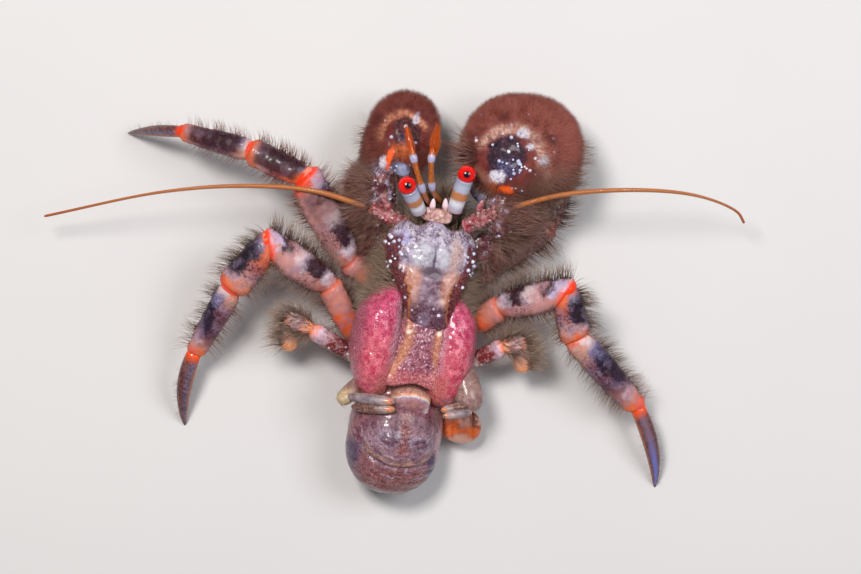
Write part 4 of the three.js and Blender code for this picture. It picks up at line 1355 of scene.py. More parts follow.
# The depth of the velvet, by which the skin under it is drawn in.
VELVET = 1.3
CLAWS = {
    "right": {
        "side": 1,
        "shoulder": (5, 3.4, 5.6),
        "elbow": (10, 7, 8),
        "arm": 2.7,
        "velvet": ((0.3, 0.072, 0.054), (0.45, 0.135, 0.105)),
        "wrist": ((9.7, 6.7, 8.2), (12.2, 14.6, 10.4), 4.5, 3.5, 2.4),
        "hand": ((12.3, 11.6, 12), (13.7, 28.2, 9.2), 9.3, 4.5, 2.15),
        "tilt": 0.1,
        "middle": (-1.8, -2.2),
        "bare": (2.7, 3.1),
        "bow": (-1.3, -2.6, 4.6, 0.31, 0.95),
        "orange": (-1.8, -6.7, 1.2, 0.6),
        "white": [(-3, -4.9, 1.15, 0.8), (0.3, 1.2, 0.9, 0.7), (1.5, -0.6, 0.6, 0.5), (3.3, -2.4, 0.5, 0.7)],
        "mottled": (-4.6, -7.4, 1, 0.5),
        "ember": (-3.6, -6.4, 1.6, 0.7),
        "pearls": (0.2, -3.6, 2.9, 2.8),
        "facet": [(5.9, 14.4, 8.8), (9.9, 11.4, 9.9), 1.25, 1, 2.4],
    },
    "left": {
        "side": -1,
        "shoulder": (-5.2, 3.6, 5.6),
        "elbow": (-8.2, 7.6, 8),
        "arm": 2.5,
        "velvet": ((0.22, 0.046, 0.036), (0.34, 0.088, 0.07)),
        "wrist": ((-9.2, 7.9, 8.4), (-7.2, 18.2, 10.6), 3.9, 3.2, 2.4),
        "hand": ((-6.5, 14.8, 11.6), (-1.9, 28.3, 8.8), 5.7, 3.9, 2.3),
        "tilt": -0.15,
        "middle": (0.9, 0.2),
        "bare": (1.9, 2.2),
        "bow": (0.7, -0.4, 3.2, -0.55, 0.83),
        "orange": (-0.2, -3.9, 0.5, 1.5),
        "white": [(-1.1, -4.6, 0.6, 1), (1.7, 2.6, 0.35, 0.9)],
        "mottled": (1.2, -6.4, 3.6, 2),
        "ember": (1.3, -2.6, 1.5, 1.1),
        "pearls": (1, -6.4, 3.2, 1.6),
        "facet": [(-5.4, 17.4, 13), (-3, 16.1, 12.7), 0.95, 0.7, 2.4],
    },
}


def hand_frame(claw):
    """The hand's middle, and the directions across it, along it and out of its back."""
    a, b = np.array(claw["hand"][0]), np.array(claw["hand"][1])
    across, out = sides_of(b - a, (-np.sin(claw["tilt"]) * claw["side"], 0, np.cos(claw["tilt"])))
    return (a + b) / 2, across, unit(b - a), out


def finger_split(claw, gap):
    """A prism with a toothed edge, which holds the movable finger's share of a hand."""
    _, across, along, out = hand_frame(claw)
    a, b, wide, thick = (np.array(v) for v in claw["hand"][:4])
    length = np.linalg.norm(b - a)
    knuckle = blend(a, b, 0.46)
    edge = [(1.4 * wide, -gap), (1.4 * wide, length), (0.12 * wide - gap, length)]
    for i in range(13):
        t = 1 - i / 12
        edge.append(((0.34 - 0.22 * t) * wide - gap + 0.22 * (-1) ** i, blend(0.3 - gap, length * 0.62, t)))
    edge.append((0.34 * wide - gap + 0.5, -gap))
    inward = -claw["side"] * across
    rim = [knuckle + u * inward + v * along for u, v in edge]
    points = np.array([p + w * out for w in (-2 * thick, 2 * thick) for p in rim]) / 1000 + ORIGIN
    count = len(rim)
    faces = [[i, (i + 1) % count, count + (i + 1) % count, count + i] for i in range(count)]
    faces += [list(range(count))[::-1], list(range(count, 2 * count))]
    if claw["side"] > 0:
        faces = [f[::-1] for f in faces]
    mesh = bpy.data.meshes.new("finger_split")
    mesh.from_pydata(points.tolist(), [], faces)
    mesh.uv_layers.new(name="OFBake")
    prism = bpy.data.objects.new("finger_split", mesh)
    bpy.context.scene.collection.objects.link(prism)
    return prism


def roughened(part, *sizes):
    """A lofted part with uneven ground worked into it: (how high, how wide) for each kind of lump."""
    points = part["points"]
    grow = np.zeros(len(points))
    for seed, (height, size) in enumerate(sizes):
        grow += height * lumps(points, size, 31 + seed)
    centre = points.mean(0)
    part["points"] = points + unit(points - centre) * grow[:, None]
    return part


def shrunk_egg(shape, by, upright=(0, 0, 1)):
    a, b, wide, thick, bluntness = shape
    a, b = np.array(a), np.array(b)
    way = unit(b - a)
    return egg(a + way * by, b - way * by, wide - by, thick - by, bluntness, upright)


def hand_paint(n, claw, furry):
    (mx, my), (bx, by), (cx, cy, ring, dx, dy) = claw["middle"], claw["bare"], claw["bow"]
    side = float(claw["side"])
    place = n.place()
    spot = n.wander(place, 0.5, 1.3)
    x, y, z = n.split(spot)
    blotch = n.cloud(place, 1.5)
    fine = n.cloud(place, 0.35, 3, 0.7)
    ex, ey = (x - mx) / bx, (y - my) / by
    away = (ex * ex + ey * ey) ** 0.5
    back = z.step(-0.3, 0.8)
    low = (-y + (x - mx) * side * 0.3).step(3.5, 7)
    velvet = n.layers(
        n.mix(blotch.step(0.35, 0.65), *claw["velvet"]),
        (fine.step(0.5, 0.72) * 0.35, (0.54, 0.18, 0.14)),
        ((x * side).step(2.5, 7.5) * 0.7, claw["velvet"][1]),
        (low * 0.75, (0.2, 0.115, 0.08)),
    )
    # A maroon ground surrounds the dark purple middle, which turns blue at its lower side.
    colour = n.mix(away.step(2, 1.25) * back * 0.8, velvet, (0.17, 0.022, 0.02))
    purple = fine.tint(0.42, 0.66, (0.01, 0.003, 0.01), (0.07, 0.018, 0.04))
    blue = fine.tint(0.4, 0.6, (0.018, 0.014, 0.05), (0.13, 0.12, 0.27))
    if side < 0:
        purple = fine.tint(0.4, 0.64, (0.02, 0.005, 0.008), (0.13, 0.028, 0.03))
    low_middle = n.near(spot, mx + 0.2, my - by * 0.5, bx * 0.55, by * 0.35, 0.8)
    purple = n.mix(low_middle * (0.6 if side > 0 else 0.25), purple, blue)
    off_x, off_y = x - cx, y - cy
    around = (off_x * off_x + off_y * off_y) ** 0.5
    facing = ((off_x * dx + off_y * dy) / around).step(-0.15, 0.25)
    outer = around.hump(ring * 1.35, ring * 0.16) * facing * back
    bow = around.hump(ring, ring * 0.26) * facing * back
    cream = fine.tint(0.38, 0.58, (0.54, 0.17, 0.095), (0.76, 0.56, 0.48) if side > 0 else (0.7, 0.34, 0.21))
    strip = (x * 0.8 * side + y * 0.6).hump(-6.9, 1.1) * (x * 0.6 * side - y * 0.8).step(-1.5, 0) * back
    mottle = n.layers(
        blotch.tint(0.38, 0.6, (0.12, 0.03, 0.045), (0.46, 0.26, 0.29)),
        (n.cloud(place, 1, 12).step(0.5, 0.62) * 0.85, (0.58, 0.54, 0.68)),
        (fine.step(0.46, 0.36) * 0.85, (0.04, 0.016, 0.035)),
    )
    colour = n.layers(
        colour,
        (away.step(1.25, 0.85) * back, purple),
        (outer * blotch.step(0.6, 0.4) * 0.6, (0.13, 0.03, 0.035)),
        (bow * (blotch.step(0.34, 0.48) * 0.7 + 0.25), cream),
        (strip * 0.6, (0.58, 0.27, 0.185)),
        (n.near(spot, *claw["mottled"]) * back, mottle),
    )
    for patch in claw["white"]:
        pale = fine.tint(0.35, 0.6, (0.36, 0.32, 0.48), (0.8, 0.75, 0.78))
        colour = n.mix(n.near(spot, *patch, 0.35) * back * 0.9, colour, pale)
    ember = fine.tint(0.38, 0.6, (0.3, 0.045, 0.015), (0.66, 0.16, 0.035))
    white = n.dots(place, 1.05, 0.2, 3) * n.near(spot, *claw["pearls"]) * back
    colour = n.layers(
        colour,
        (n.near(spot, *claw["ember"], 0.7) * back * 0.85, ember),
        (n.near(spot, *claw["orange"], 0.35) * back, (0.86, 0.115, 0.018)),
        (white, (0.82, 0.82, 0.92)),
    )
    if furry:
        colour = strand_ends(n, colour, (0.06, 0.015, 0.012), 0.5, (0.66, 0.44, 0.36), 0.22, 0.6)
        return colour, None, None
    return colour, None, fine * 0.06


def wrist_paint(n, furry):
    place = n.place()
    blotch = n.cloud(place, 1.4)
    fine = n.cloud(place, 0.35, 3, 0.7)
    colour = n.layers(
        blotch.tint(0.38, 0.6, (0.1, 0.022, 0.03), (0.34, 0.15, 0.16)),
        (n.cloud(place, 1.1, 12).step(0.52, 0.64) * 0.85, (0.56, 0.52, 0.66)),
        (n.cloud(place, 1.2, 5, 0.5, 2).step(0.6, 0.7) * 0.7, (0.6, 0.24, 0.2)),
        (fine.step(0.46, 0.36) * 0.85, (0.04, 0.016, 0.035)),
    )
    if furry:
        lock = n.cloud(place, 2.2, 21, 0.6, 2)
        brown = lock.tint(0.38, 0.62, (0.23, 0.075, 0.052), (0.3, 0.165, 0.115))
        pale_share = fine.step(0.45, 0.6) * 0.7 + lock * 0.2
        colour = n.mix(0.85, colour, brown)
        colour = strand_ends(n, colour, (0.04, 0.014, 0.012), 0.7, (0.56, 0.44, 0.36), pale_share)
        return colour, None, None
    grey = blotch.tint(0.35, 0.65, (0.075, 0.065, 0.12), (0.32, 0.34, 0.5))
    colour = n.mix(n.attribute("smooth_facet"), colour, grey)
    return colour, None, fine * 0.06


def locks(points, sweep, stray, seed):
    """Directions that follow sweep, but fan out and close up in locks a couple of millimetres across."""
    wild = np.stack([lumps(points, 1.9, seed + n) for n in range(3)], 1)
    return unit(np.array(sweep) + stray * wild)


def oval(x, y, cx, cy, wide, high, soft=0.35):
    """1 within an oval round cx, cy, and 0 outside it."""
    return smooth(np.hypot((x - cx) / wide, (y - cy) / high), 1 + soft, 1 - soft)


cuff_finish = wet_paint("cuff_skin", wrist_paint, False, rough=0.35, coat=0.5, soft=0.08, bump=0.6)
cuff_hair = wet_paint("cuff_bristles", wrist_paint, True)
for name, claw in CLAWS.items():
    side = claw["side"]
    middle, across, along, out = hand_frame(claw)
    hand_shape = shrunk_egg(claw["hand"], VELVET, out)
    pieces = {}
    for part, operation, gap in (("hand", "DIFFERENCE", 0.02), ("finger", "INTERSECT", -0.02)):
        egg_part = roughened(loft(hand_shape, 130, 130), (0.16, 1.7), (0.07, 0.7))
        piece = make(f"claw_{part}_skin_{name}", [egg_part])
        prism = finger_split(claw, gap)
        finished(piece, ("BOOLEAN", {"operation": operation, "object": prism, "solver": "EXACT"}))
        bpy.data.objects.remove(prism)
        pieces[part] = piece
    hand_skin_finish = wet_paint("hand_skin_" + name, hand_paint, claw, False, rough=0.6, coat=0.08, bump=0.7)
    velvet_finish = wet_paint("velvet_" + name, hand_paint, claw, True, rough=0.55, coat=0.05)
    for number, (part, piece) in enumerate(pieces.items()):
        at = points_of(piece.data)
        off = at - middle
        x, y, z = off @ across, off @ along, off @ out
        (mx, my), (bx, by) = claw["middle"], claw["bare"]
        away = np.hypot((x - mx) / bx, (y - my) / by)
        back = smooth(z, -0.3, 0.8)
        bald = [oval(x, y, *spot) for spot in (claw["orange"], claw["mottled"], *claw["white"][:1])]
        bare = np.maximum(smooth(away, 1.5, 0.7) * (1 if side > 0 else 0.75), np.max(bald, axis=0)) * back
        mark(piece.data, "place", np.stack([x, y, z], 1))
        piece.data.materials.clear()
        piece.data.materials.append(hand_skin_finish)
        radial = unit(off - across * mx - along * my - out * z[:, None])
        flared = 0.9 * smooth(-y, 1.5, 5) * smooth(x * side, 0, 3)
        thin = np.clip(1.1 - 0.7 * smooth(away, 3, 1.3) * back, 0, 1) * (1 + flared)
        warts = 0.9 * oval(x, y, *claw["pearls"]) + 0.12 * smooth(away, 3.2, 1.5)
        fur = (1 - bare) * (0.35 + 0.65 * smooth(z, -2, 0))
        comb_over(piece, fur, radial, thin, warts * smooth(z, 0.8, 2))
        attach(piece, "root")
        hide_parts(f"claw_{part}_{name}")
        scatter(
            f"velvet_{part}_{name}", piece, FUR, velvet_finish, "claw_velvet", 11 + number, density=130.0,
            length=1.35, thickness=0.058, lean=0.6, spread=0.3, bend=0.2,
        )
        scatter(
            f"pearls_{part}_{name}", piece, PEARL, pearl_finish, "claw_velvet", 21 + number, density=1.2,
            size=0.54,
        )
        # Longer bristles stand out from the hand's heel, its outer edge, and the edge beside the eyes.
        heel = smooth(-y + 0.35 * side * x, 0, 4) * smooth(z, 1.6, 0.4)
        inner = oval(x * side, y, -7.8, -3.4, 2, 3.6) * smooth(z, -2.5, 0) * (side > 0)
        clump = 0.25 + 0.75 * smooth(lumps(at, 0.9, 51), -0.3, 0.4)
        lay = locks(at, np.zeros(3), 0.45, 61) * 0.45 + radial
        comb_over(
            piece, np.maximum(heel, inner) * clump, unit(lay - 0.3 * along * heel[:, None] - 0.1 * out),
            1 + 0.5 * inner,
        )
        if part == "hand" or side > 0:
            scatter(
                f"heel_bristles_{part}_{name}", piece, BRISTLE, cuff_hair, "claw_velvet", 25 + number,
                density=26.0, length=3.5, thickness=0.08, lean=0.55, spread=0.35, bend=0.3,
            )

    arm = claw["arm"] - 0.5
    shoulder, elbow = np.array(claw["shoulder"]), np.array(claw["elbow"])
    arm_shape = rod(curve([shoulder, (shoulder + elbow) / 2, elbow]), lambda t: arm * blend(0.78, 1, t), 0.25)
    wrist_shape = shrunk_egg(claw["wrist"], 0.7)
    facet = loft(egg(*claw["facet"]), 40, 40)
    facet["marks"]["smooth_facet"] = np.ones(len(facet["points"]))
    wrist = roughened(loft(wrist_shape, 90, 80), (0.2, 1.6), (0.1, 0.6))
    pieces = {
        "arm": make("claw_arm_skin_" + name, [roughened(loft(arm_shape, 70, 60), (0.15, 1.5), (0.08, 0.6))]),
        "wrist": make("claw_wrist_skin_" + name, [wrist, facet]),
    }
    for number, (part, piece) in enumerate(pieces.items()):
        at = points_of(piece.data)
        mark(piece.data, "place", at)
        piece.data.materials.append(cuff_finish)
        bare = np.zeros(len(at))
        centre = at.mean(0)
        outer = smooth((at[:, 0] - centre[0]) * side, -1, 1.6)
        under = smooth(at[:, 2] - centre[2], 0.5, -1.5)
        if part == "wrist":
            bare[-len(facet["points"]):] = 1
            if name == "left":
                bare = np.maximum(bare, 0.93 * (1 - outer) * (1 - under))
        clump = 0.3 + 0.7 * smooth(lumps(at, 1, 52), -0.35, 0.35)
        sweep = locks(at, (0.85 * side, -0.25, 0), 0.9, 71)
        warts = 0.7 * (1 - outer) * (1 - bare * (at[:, 1] > 17.5))
        comb_over(piece, (1 - bare) * clump, sweep, 0.5 + 0.5 * np.maximum(outer, under), warts)
        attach(piece, "root")
        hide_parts(f"claw_{part}_{name}")
        scatter(
            f"{part}_bristles_{name}", piece, BRISTLE, cuff_hair, "claw_arm", 31 + number, density=28.0,
            length=3.9, thickness=0.085, lean=0.9, spread=0.35, bend=0.35,
        )
        if part == "wrist":
            comb_over(
                piece, outer * (1 - bare), sweep + (0, 0.5, 0), 0.6 + 0.5 * smooth(at[:, 1], 12, 18), warts
            )
            scatter(
                "wrist_fur_" + name, piece, FUR, cuff_hair, "claw_arm", 35, density=90.0, length=2.0,
                thickness=0.055, lean=0.6, spread=0.3, bend=0.2,
            )
        scatter(
            f"{part}_pearls_{name}", piece, PEARL, pearl_finish, "claw_arm", 41 + number, density=0.7,
            size=0.42,
        )

# ---------------------------------------------------------------- the walking legs
# Each leg has a short base and four long pieces, which are telescoped into each other at orange-red joints.
# The last piece is a slim curved toe that stands on the floor. Rows of bristles stand along the edges.
LEG_SIZES = [(1.7, 1.95, 1.95, 0.9), (1.9, 2.6, 2.4, 0.82), (2, 2.4, 2.2, 0.82), (2.05, 2, 1.5, 0.8)]
TOE_SIZE = (1.1, 1.15, 0.3, 0.85)
# The legs are drawn in a little, so that their bristles keep to their place.
BRISTLE_ROOM = 0.12
LEGS = {
    "front_left": {
        "joints": [
            (-7.6, 0.8, 5), (-11.8, 3.6, 6), (-17.8, 15.7, 12.6), (-25.5, 19.4, 12.2), (-35.5, 22.3, 9),
            (-44.6, 22.6, -0.2),
        ],
        "widths": (1, 1.04, 0.88, 0.86, 0.8),
        "toe_bow": (0, 0.2, 1),
        "coat": {"density": 16.0, "length": 2.6, "thickness": 0.085},
    },
    "front_right": {
        "joints": [
            (5.9, 0.8, 4.6), (8.6, 2.6, 4.8), (17, 8.6, 4.6), (19.4, 16.6, 4), (15.4, 25.4, 3.2),
            (8.4, 27.6, -0.2),
        ],
        "widths": (0.9, 0.82, 0.86, 0.86, 0.85),
        "toe_bow": (0, 0, 1),
        "coat": {"density": 36.0, "length": 3.6, "thickness": 0.08},
    },
    "hind_left": {
        "joints": [
            (-10.6, -7.6, 5), (-14.5, 0.3, 7.5), (-23, 6.5, 12.8), (-28.4, 0, 10.4), (-34.1, -9.4, 5.8),
            (-36.1, -20.5, -0.2),
        ],
        "widths": (1, 1, 1.06, 0.94, 1.05),
        "toe_bow": (-0.8, 0, 1),
        "coat": {"density": 21.0, "length": 3.5, "thickness": 0.085},
    },
    "hind_right": {
        "joints": [
            (6.4, -5.6, 5), (10, -2.8, 7.5), (19.5, -0.4, 12.8), (20.6, -7.2, 10.4), (29.9, -17.3, 5.4),
            (33, -29.6, -0.2),
        ],
        "widths": (1, 0.94, 1, 1.1, 1.05),
        "toe_bow": (0.8, 0, 1),
        "coat": {"density": 21.0, "length": 3.5, "thickness": 0.085},
    },
}


def leg_piece(a, b, face_a, face_b, size, widen=1, bow=None, lap=0.45):
    """One piece of a leg, whose rounded ends reach a little way into its neighbours."""
    start, middle, end, flat = size
    chord = unit(b - a)
    a, b = a - face_a * lap, b + face_b * (-0.15 if bow else lap)
    length = np.linalg.norm(b - a)
    bend = 2 * middle - (start + end) / 2

    def place(t, angle):
        t3 = t[..., None]
        spot = a + (b - a) * t3 + np.array(bow or (0, 0, 0)) * 4 * t3 * (1 - t3)
        face = np.where(t3 < 0.5, blend(face_a, chord, 2 * t3), blend(chord, face_b, 2 * t3 - 1))
        across, out = sides_of(face)
        wide = ((1 - t) ** 2 * start + 2 * t * (1 - t) * bend + t * t * end) * widen - BRISTLE_ROOM
        neck = 0 if bow else 0.14 * smooth(t, 2.2 / length, 0.8 / length)
        lip = 0.05 * hump(t, 1 - 1.3 / length, 0.7 / length)
        near_end = np.minimum(t, 1 - t) * length / 0.9
        dome_end = np.sqrt(np.clip(1 - (1 - near_end).clip(0, 1) ** 2, 0.0006, 1))
        wide = (wide * (1 - neck + lip) * dome_end)[..., None]
        wide = wide * (1 + (0 if bow else 0.02) * np.sin(t * length * 4 + 2.5 * np.sin(angle * 3))[..., None])
        round_across, round_out = (squared(f(angle), 0.9)[..., None] for f in (np.cos, np.sin))
        return spot + (across * round_across + out * round_out * flat) * wide

    return place


def bearings(joints):
    """The way each piece of a limb runs, and the way each of its joints faces."""
    ways = unit(np.diff(joints, axis=0))
    return ways, unit(np.concatenate([ways[:1], ways[:-1] + ways[1:], ways[-1:]]))


# The colours run down a leg from its root, one unit to a piece. The outer side of each piece carries a dark
# cloud, and its inner side is milky pink.
JOINT_RED = (0.98, 0.06, 0.004)
BASE_STOPS = [
    (0, (0.5, 0.17, 0.12)), (4, JOINT_RED), (0.4, (0.74, 0.15, 0.05)), (0.6, (0.58, 0.24, 0.18)),
    (0.86, (0.54, 0.25, 0.23)), (0.96, (0.62, 0.18, 0.12)), (0.99, JOINT_RED),
]
OUTER_SIDE = [
    *BASE_STOPS, (1.03, (0.54, 0.3, 0.28)), (1.16, (0.66, 0.54, 0.6)), (1.29, (0.055, 0.022, 0.034)),
    (1.43, (0.1, 0.045, 0.06)), (1.52, (0.68, 0.54, 0.56)), (1.66, (0.56, 0.32, 0.32)),
    (1.74, (0.05, 0.02, 0.032)), (1.81, (0.6, 0.5, 0.66)), (1.92, (0.6, 0.42, 0.5)), (1.97, JOINT_RED),
    (2.07, (0.74, 0.17, 0.07)), (2.2, (0.2, 0.16, 0.23)), (2.34, (0.022, 0.012, 0.024)),
    (2.64, (0.04, 0.02, 0.036)), (2.78, (0.5, 0.33, 0.38)), (2.88, (0.62, 0.21, 0.11)), (2.97, JOINT_RED),
    (3.07, (0.72, 0.56, 0.54)),
]
OUTER_END = [
    (3.19, (0.2, 0.18, 0.32)), (3.34, (0.03, 0.018, 0.042)), (3.6, (0.065, 0.032, 0.06)),
    (3.75, (0.54, 0.35, 0.38)), (3.88, (0.56, 0.25, 0.21)),
]
INNER_SIDE = [
    *BASE_STOPS, (1.06, (0.52, 0.21, 0.17)), (1.3, (0.5, 0.26, 0.25)), (1.6, (0.6, 0.33, 0.32)),
    (1.86, (0.58, 0.29, 0.25)), (1.98, JOINT_RED), (2.12, (0.74, 0.2, 0.08)), (2.45, (0.36, 0.12, 0.12)),
    (2.7, (0.54, 0.32, 0.32)), (2.89, (0.64, 0.21, 0.1)), (2.98, JOINT_RED), (3.1, (0.6, 0.36, 0.29)),
    (3.35, (0.25, 0.12, 0.15)), (3.6, (0.15, 0.07, 0.1)), (3.82, (0.5, 0.24, 0.21)),
    (3.94, (0.76, 0.2, 0.07)),
]


def leg_paint(n, furry, gloom, shade_share=0):
    place = n.place()
    along = n.attribute("along")
    outer = n.attribute("outer")
    blotch = n.cloud(place, 2.4)
    fine = n.cloud(place, 0.38, 3, 0.75)
    grain = n.cloud(place, 0.16, 5, 0.8, 2)
    within = abs((along * np.pi).sine())
    shifted = (along + ((blotch - 0.5) * 0.45 + (fine - 0.5) * 0.12) * within.step(0.1, 0.6)) * 0.25
    clouded, milky = (
        n.node("ShaderNodeValToRGB", {"ramp": [(spot / 4, colour) for spot, colour in stops]}, [shifted])
        for stops in (OUTER_SIDE + OUTER_END, INNER_SIDE)
    )
    sway = (n.cloud(place, 1.6, 7) - 0.5) * 1.8 + (fine - 0.5) * 0.4
    colour = (outer + sway + 0.1).tint(-0.18, 0.18, milky, clouded)
    dark = along.hump(1.37, 0.24) + along.hump(2.5, 0.42) + along.hump(3.45, 0.42)
    gloomy = along.step(1, 2.2) * (within.step(0.3, 0.65) * 0.8 + 0.15) * gloom
    gloomy = gloomy * (outer + sway * 0.3).step(-0.85, -0.45)
    maroon = fine.tint(0.44, 0.64, (0.03, 0.008, 0.014), (0.16, 0.055, 0.06))
    haze = n.cloud(place, 1.7, 9, 0.5, 2).step(0.5, 0.66) * within.step(0.2, 0.5)
    seam = {"Vector": n.wander(place, 0.3, 1.2), "Scale": 0.42}
    seam = n.node("ShaderNodeTexVoronoi", {"feature": "DISTANCE_TO_EDGE"}, seam).step(0.055, 0.02)
    edge = abs(outer).step(0.86, 0.97)
    colour = n.layers(
        colour,
        (gloomy, maroon),
        (haze * (0.4 - gloom * 0.25), (0.34, 0.26, 0.38)),
        (fine.step(0.5, 0.6) * dark * 0.75, (0.025, 0.01, 0.018)),
        (grain.step(0.62, 0.69) * dark * 0.45, (0.4, 0.33, 0.42)),
        (seam * within.step(0.6, 0.2) * along.step(0.9, 1) * 0.4, (0.7, 0.075, 0.02)),
        (within.step(0.2, 0.05) * blotch.step(0.52, 0.62) * along.step(0.95, 1.5) * 0.65, (0.8, 0.42, 0.34)),
        (edge * blotch.step(0.4, 0.6) * 0.5, (0.56, 0.15, 0.06)),
    )
    # The front right leg lies folded under the big claw, so most of its colour gives way to painted shade, a
    # dark brown.
    shaded = fine.tint(0.4, 0.6, (0.06, 0.022, 0.022), (0.26, 0.15, 0.13))
    colour = n.mix(shade_share, n.node("ShaderNodeGamma", None, [colour, 1.2]), shaded)
    if furry:
        colour = n.mix(0.85, colour, n.mix(gloom, (0.27, 0.185, 0.14), (0.28, 0.1, 0.075)))
        pale_share = fine.step(0.44, 0.6) * 0.75 + 0.15
        colour = strand_ends(n, colour, (0.06, 0.022, 0.02), 0.65, (0.54, 0.46, 0.36), pale_share)
        return colour, None, None
    return colour, None, fine * 0.05


def toe_paint(n, blue):
    t = n.attribute("along")
    outer = n.attribute("outer")
    place = n.place()
    blotch = n.cloud(place, 1.2)
    fine = n.cloud(place, 0.35, 3, 0.7)
    streak = outer + (blotch - 0.5) * 0.7
    brown = fine.tint(0.35, 0.65, (0.085, 0.03, 0.034), (0.25, 0.115, 0.105))
    lilac = t.tint(0.25, 0.75, (0.23, 0.15, 0.2), (0.2, 0.23, 0.58))
    slate = fine.tint(0.35, 0.65, (0.1, 0.085, 0.14), (0.24, 0.2, 0.3))
    colour = n.layers(
        n.mix(
            streak.hump(0 if blue else -0.45, 0.75) * (0.95 if blue else 0.8), brown, lilac if blue else slate
        ),
        (streak.step(-0.55, -0.85) * 0.6, (0.5, 0.17, 0.06)),
        ((t + (blotch - 0.5) * 0.1).step(0.17, 0.04), (0.8, 0.11, 0.018)),
        (t.step(0.94, 0.985), (0.035, 0.015, 0.015)),
    )
    return n.node("ShaderNodeGamma", None, [colour, 1.15]), None, fine * 0.05


# The front right leg's second tone is how much of it is covered by painted shade.
leg_finishes = {
    kind: (
        wet_paint("leg_shell_" + kind, leg_paint, False, *tones, rough=0.4, coat=0.15, soft=0.06, bump=0.6),
        wet_paint("leg_bristles_" + kind, leg_paint, True, *tones),
    ) for kind, tones in (("front_left", (0.9,)), ("front_right", (0.5, 0.85)), ("hind", (0,)))
}
toe_finishes = [
    wet_paint(
        ("blue_" if blue else "") + "toe_shell", toe_paint, blue, rough=0.32, coat=0.45, soft=0.08, bump=0.5
    ) for blue in (0, 1)
]
for number, (name, leg_spec) in enumerate(LEGS.items()):
    at = np.array(leg_spec["joints"], float)
    outward_sign = 1 if name.endswith("left") else -1
    ways, faces = bearings(at)
    parts = []
    for i, (size, widen) in enumerate(zip([*LEG_SIZES, TOE_SIZE], leg_spec["widths"])):
        toe = i == 4
        bow = leg_spec["toe_bow"] if toe else None
        part = loft(
            leg_piece(at[i], at[i + 1], faces[i], faces[i + 1], size, widen, bow), 84 if i else 40, 40
        )
        marks = part["marks"]
        t, angle = marks["along"], marks["around"]
        marks["along"] = t + (0 if toe else i)
        marks["outer"] = np.cos(angle) * outward_sign
        if not toe:
            lump = 0.06 * lumps(part["points"], 1.1, 41) + 0.04 * lumps(part["points"], 0.45, 42)
            heart = at[i] + (at[i + 1] - at[i]) * t[:, None]
            lump = lump * smooth(np.minimum(t, 1 - t), 0.02, 0.1)
            part["points"] = part["points"] + unit(part["points"] - heart) * lump[:, None]
        marks["place"] = part["points"]
        margin = smooth(np.abs(np.cos(angle)), 0.6, 0.92)
        outer_share = 0.72 + 0.28 * marks["outer"]
        clump = 0.3 + 0.7 * smooth(lumps(part["points"], 0.8, 43), -0.3, 0.3)
        kept = smooth(t, 0.1, 0.3) if toe else smooth(t, 0.02, 0.14) * smooth(t, 0.97, 0.84)
        scruffy = smooth(np.sin(angle), -0.5, 0.3) if name == "front_right" and (not toe) else 0.05
        marks["hair"] = (scruffy + (1 - scruffy) * margin) * kept * clump * outer_share
        outward = np.where(np.cos(angle) > 0, 1, -1)[:, None] * sides_of(ways[i])[0]
        marks["comb"] = locks(part["points"], ways[i] * 0.45 + outward * 0.9, 0.35, 81)
        marks["reach"] = (0.35 + 0.65 * margin) * (0.45 if toe else (0.9, 1, 0.9, 0.8)[i])
        parts.append(part)
    for i in (1, 2, 3, 4):
        wide = LEG_SIZES[i - 1][2] * leg_spec["widths"][i - 1] * (0, 0.64, 0.68, 0.74, 0.77)[i]
        hinge = egg(at[i] - faces[i] * 1.05, at[i] + faces[i] * 1.05, wide, wide * 0.85, 2.2)
        part = loft(hinge, 24, 28)
        part["marks"] = {"along": np.full(len(part["points"]), i - 0.012), "place": part["points"]}
        parts.append(part)
    shell_finish, leg_hair = leg_finishes[name if name in leg_finishes else "hind"]
    leg = make("walking_leg_" + name, parts[:4] + parts[5:], shell_finish)
    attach(leg, "root")
    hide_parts(*(f"leg_{name}_{piece}" for piece in ("base", "thigh", "knee", "shin")))
    scatter(
        "leg_bristles_" + name, leg, BRISTLE, leg_hair, "leg_banded", 51 + number, **leg_spec["coat"],
        lean=0.55, spread=0.3, bend=0.3,
    )
    toe = make("walking_toe_" + name, parts[4:5], toe_finishes[name == "hind_right"])
    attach(toe, "root")
    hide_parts("leg_" + name + "_toe")
    scatter(
        "toe_bristles_" + name, toe, BRISTLE, red_bristle, "leg_toe", 61 + number, density=12.0, length=2.4,
        thickness=0.055, lean=0.9, spread=0.3, bend=0.2,
    )

# ---------------------------------------------------------------- the small hind limbs
# The fourth legs are short and thick, with a rounded salmon pad and a wide brush of bristles. The fifth are
# folded over the root of the abdomen, smooth and lavender-grey, and each ends in a little orange-lipped
# pincer.
GRIPPERS = {
    "left": [(-9.9, -10.6, 6.6), (-17, -6.2, 8.4), (-20.3, -4.4, 8.2), (-20.5, -8.9, 6.4)],
    "right": [(5.7, -11, 6.6), (10.4, -8.6, 8.4), (13.2, -8, 8.2), (13.3, -12, 6.4)],
}
GRIPPER_SIZES = [(0.95, 1.4, 1.25, 0.85), (1.15, 1.5, 1.35, 0.85), (1.2, 1.35, 1.2, 0.85)]


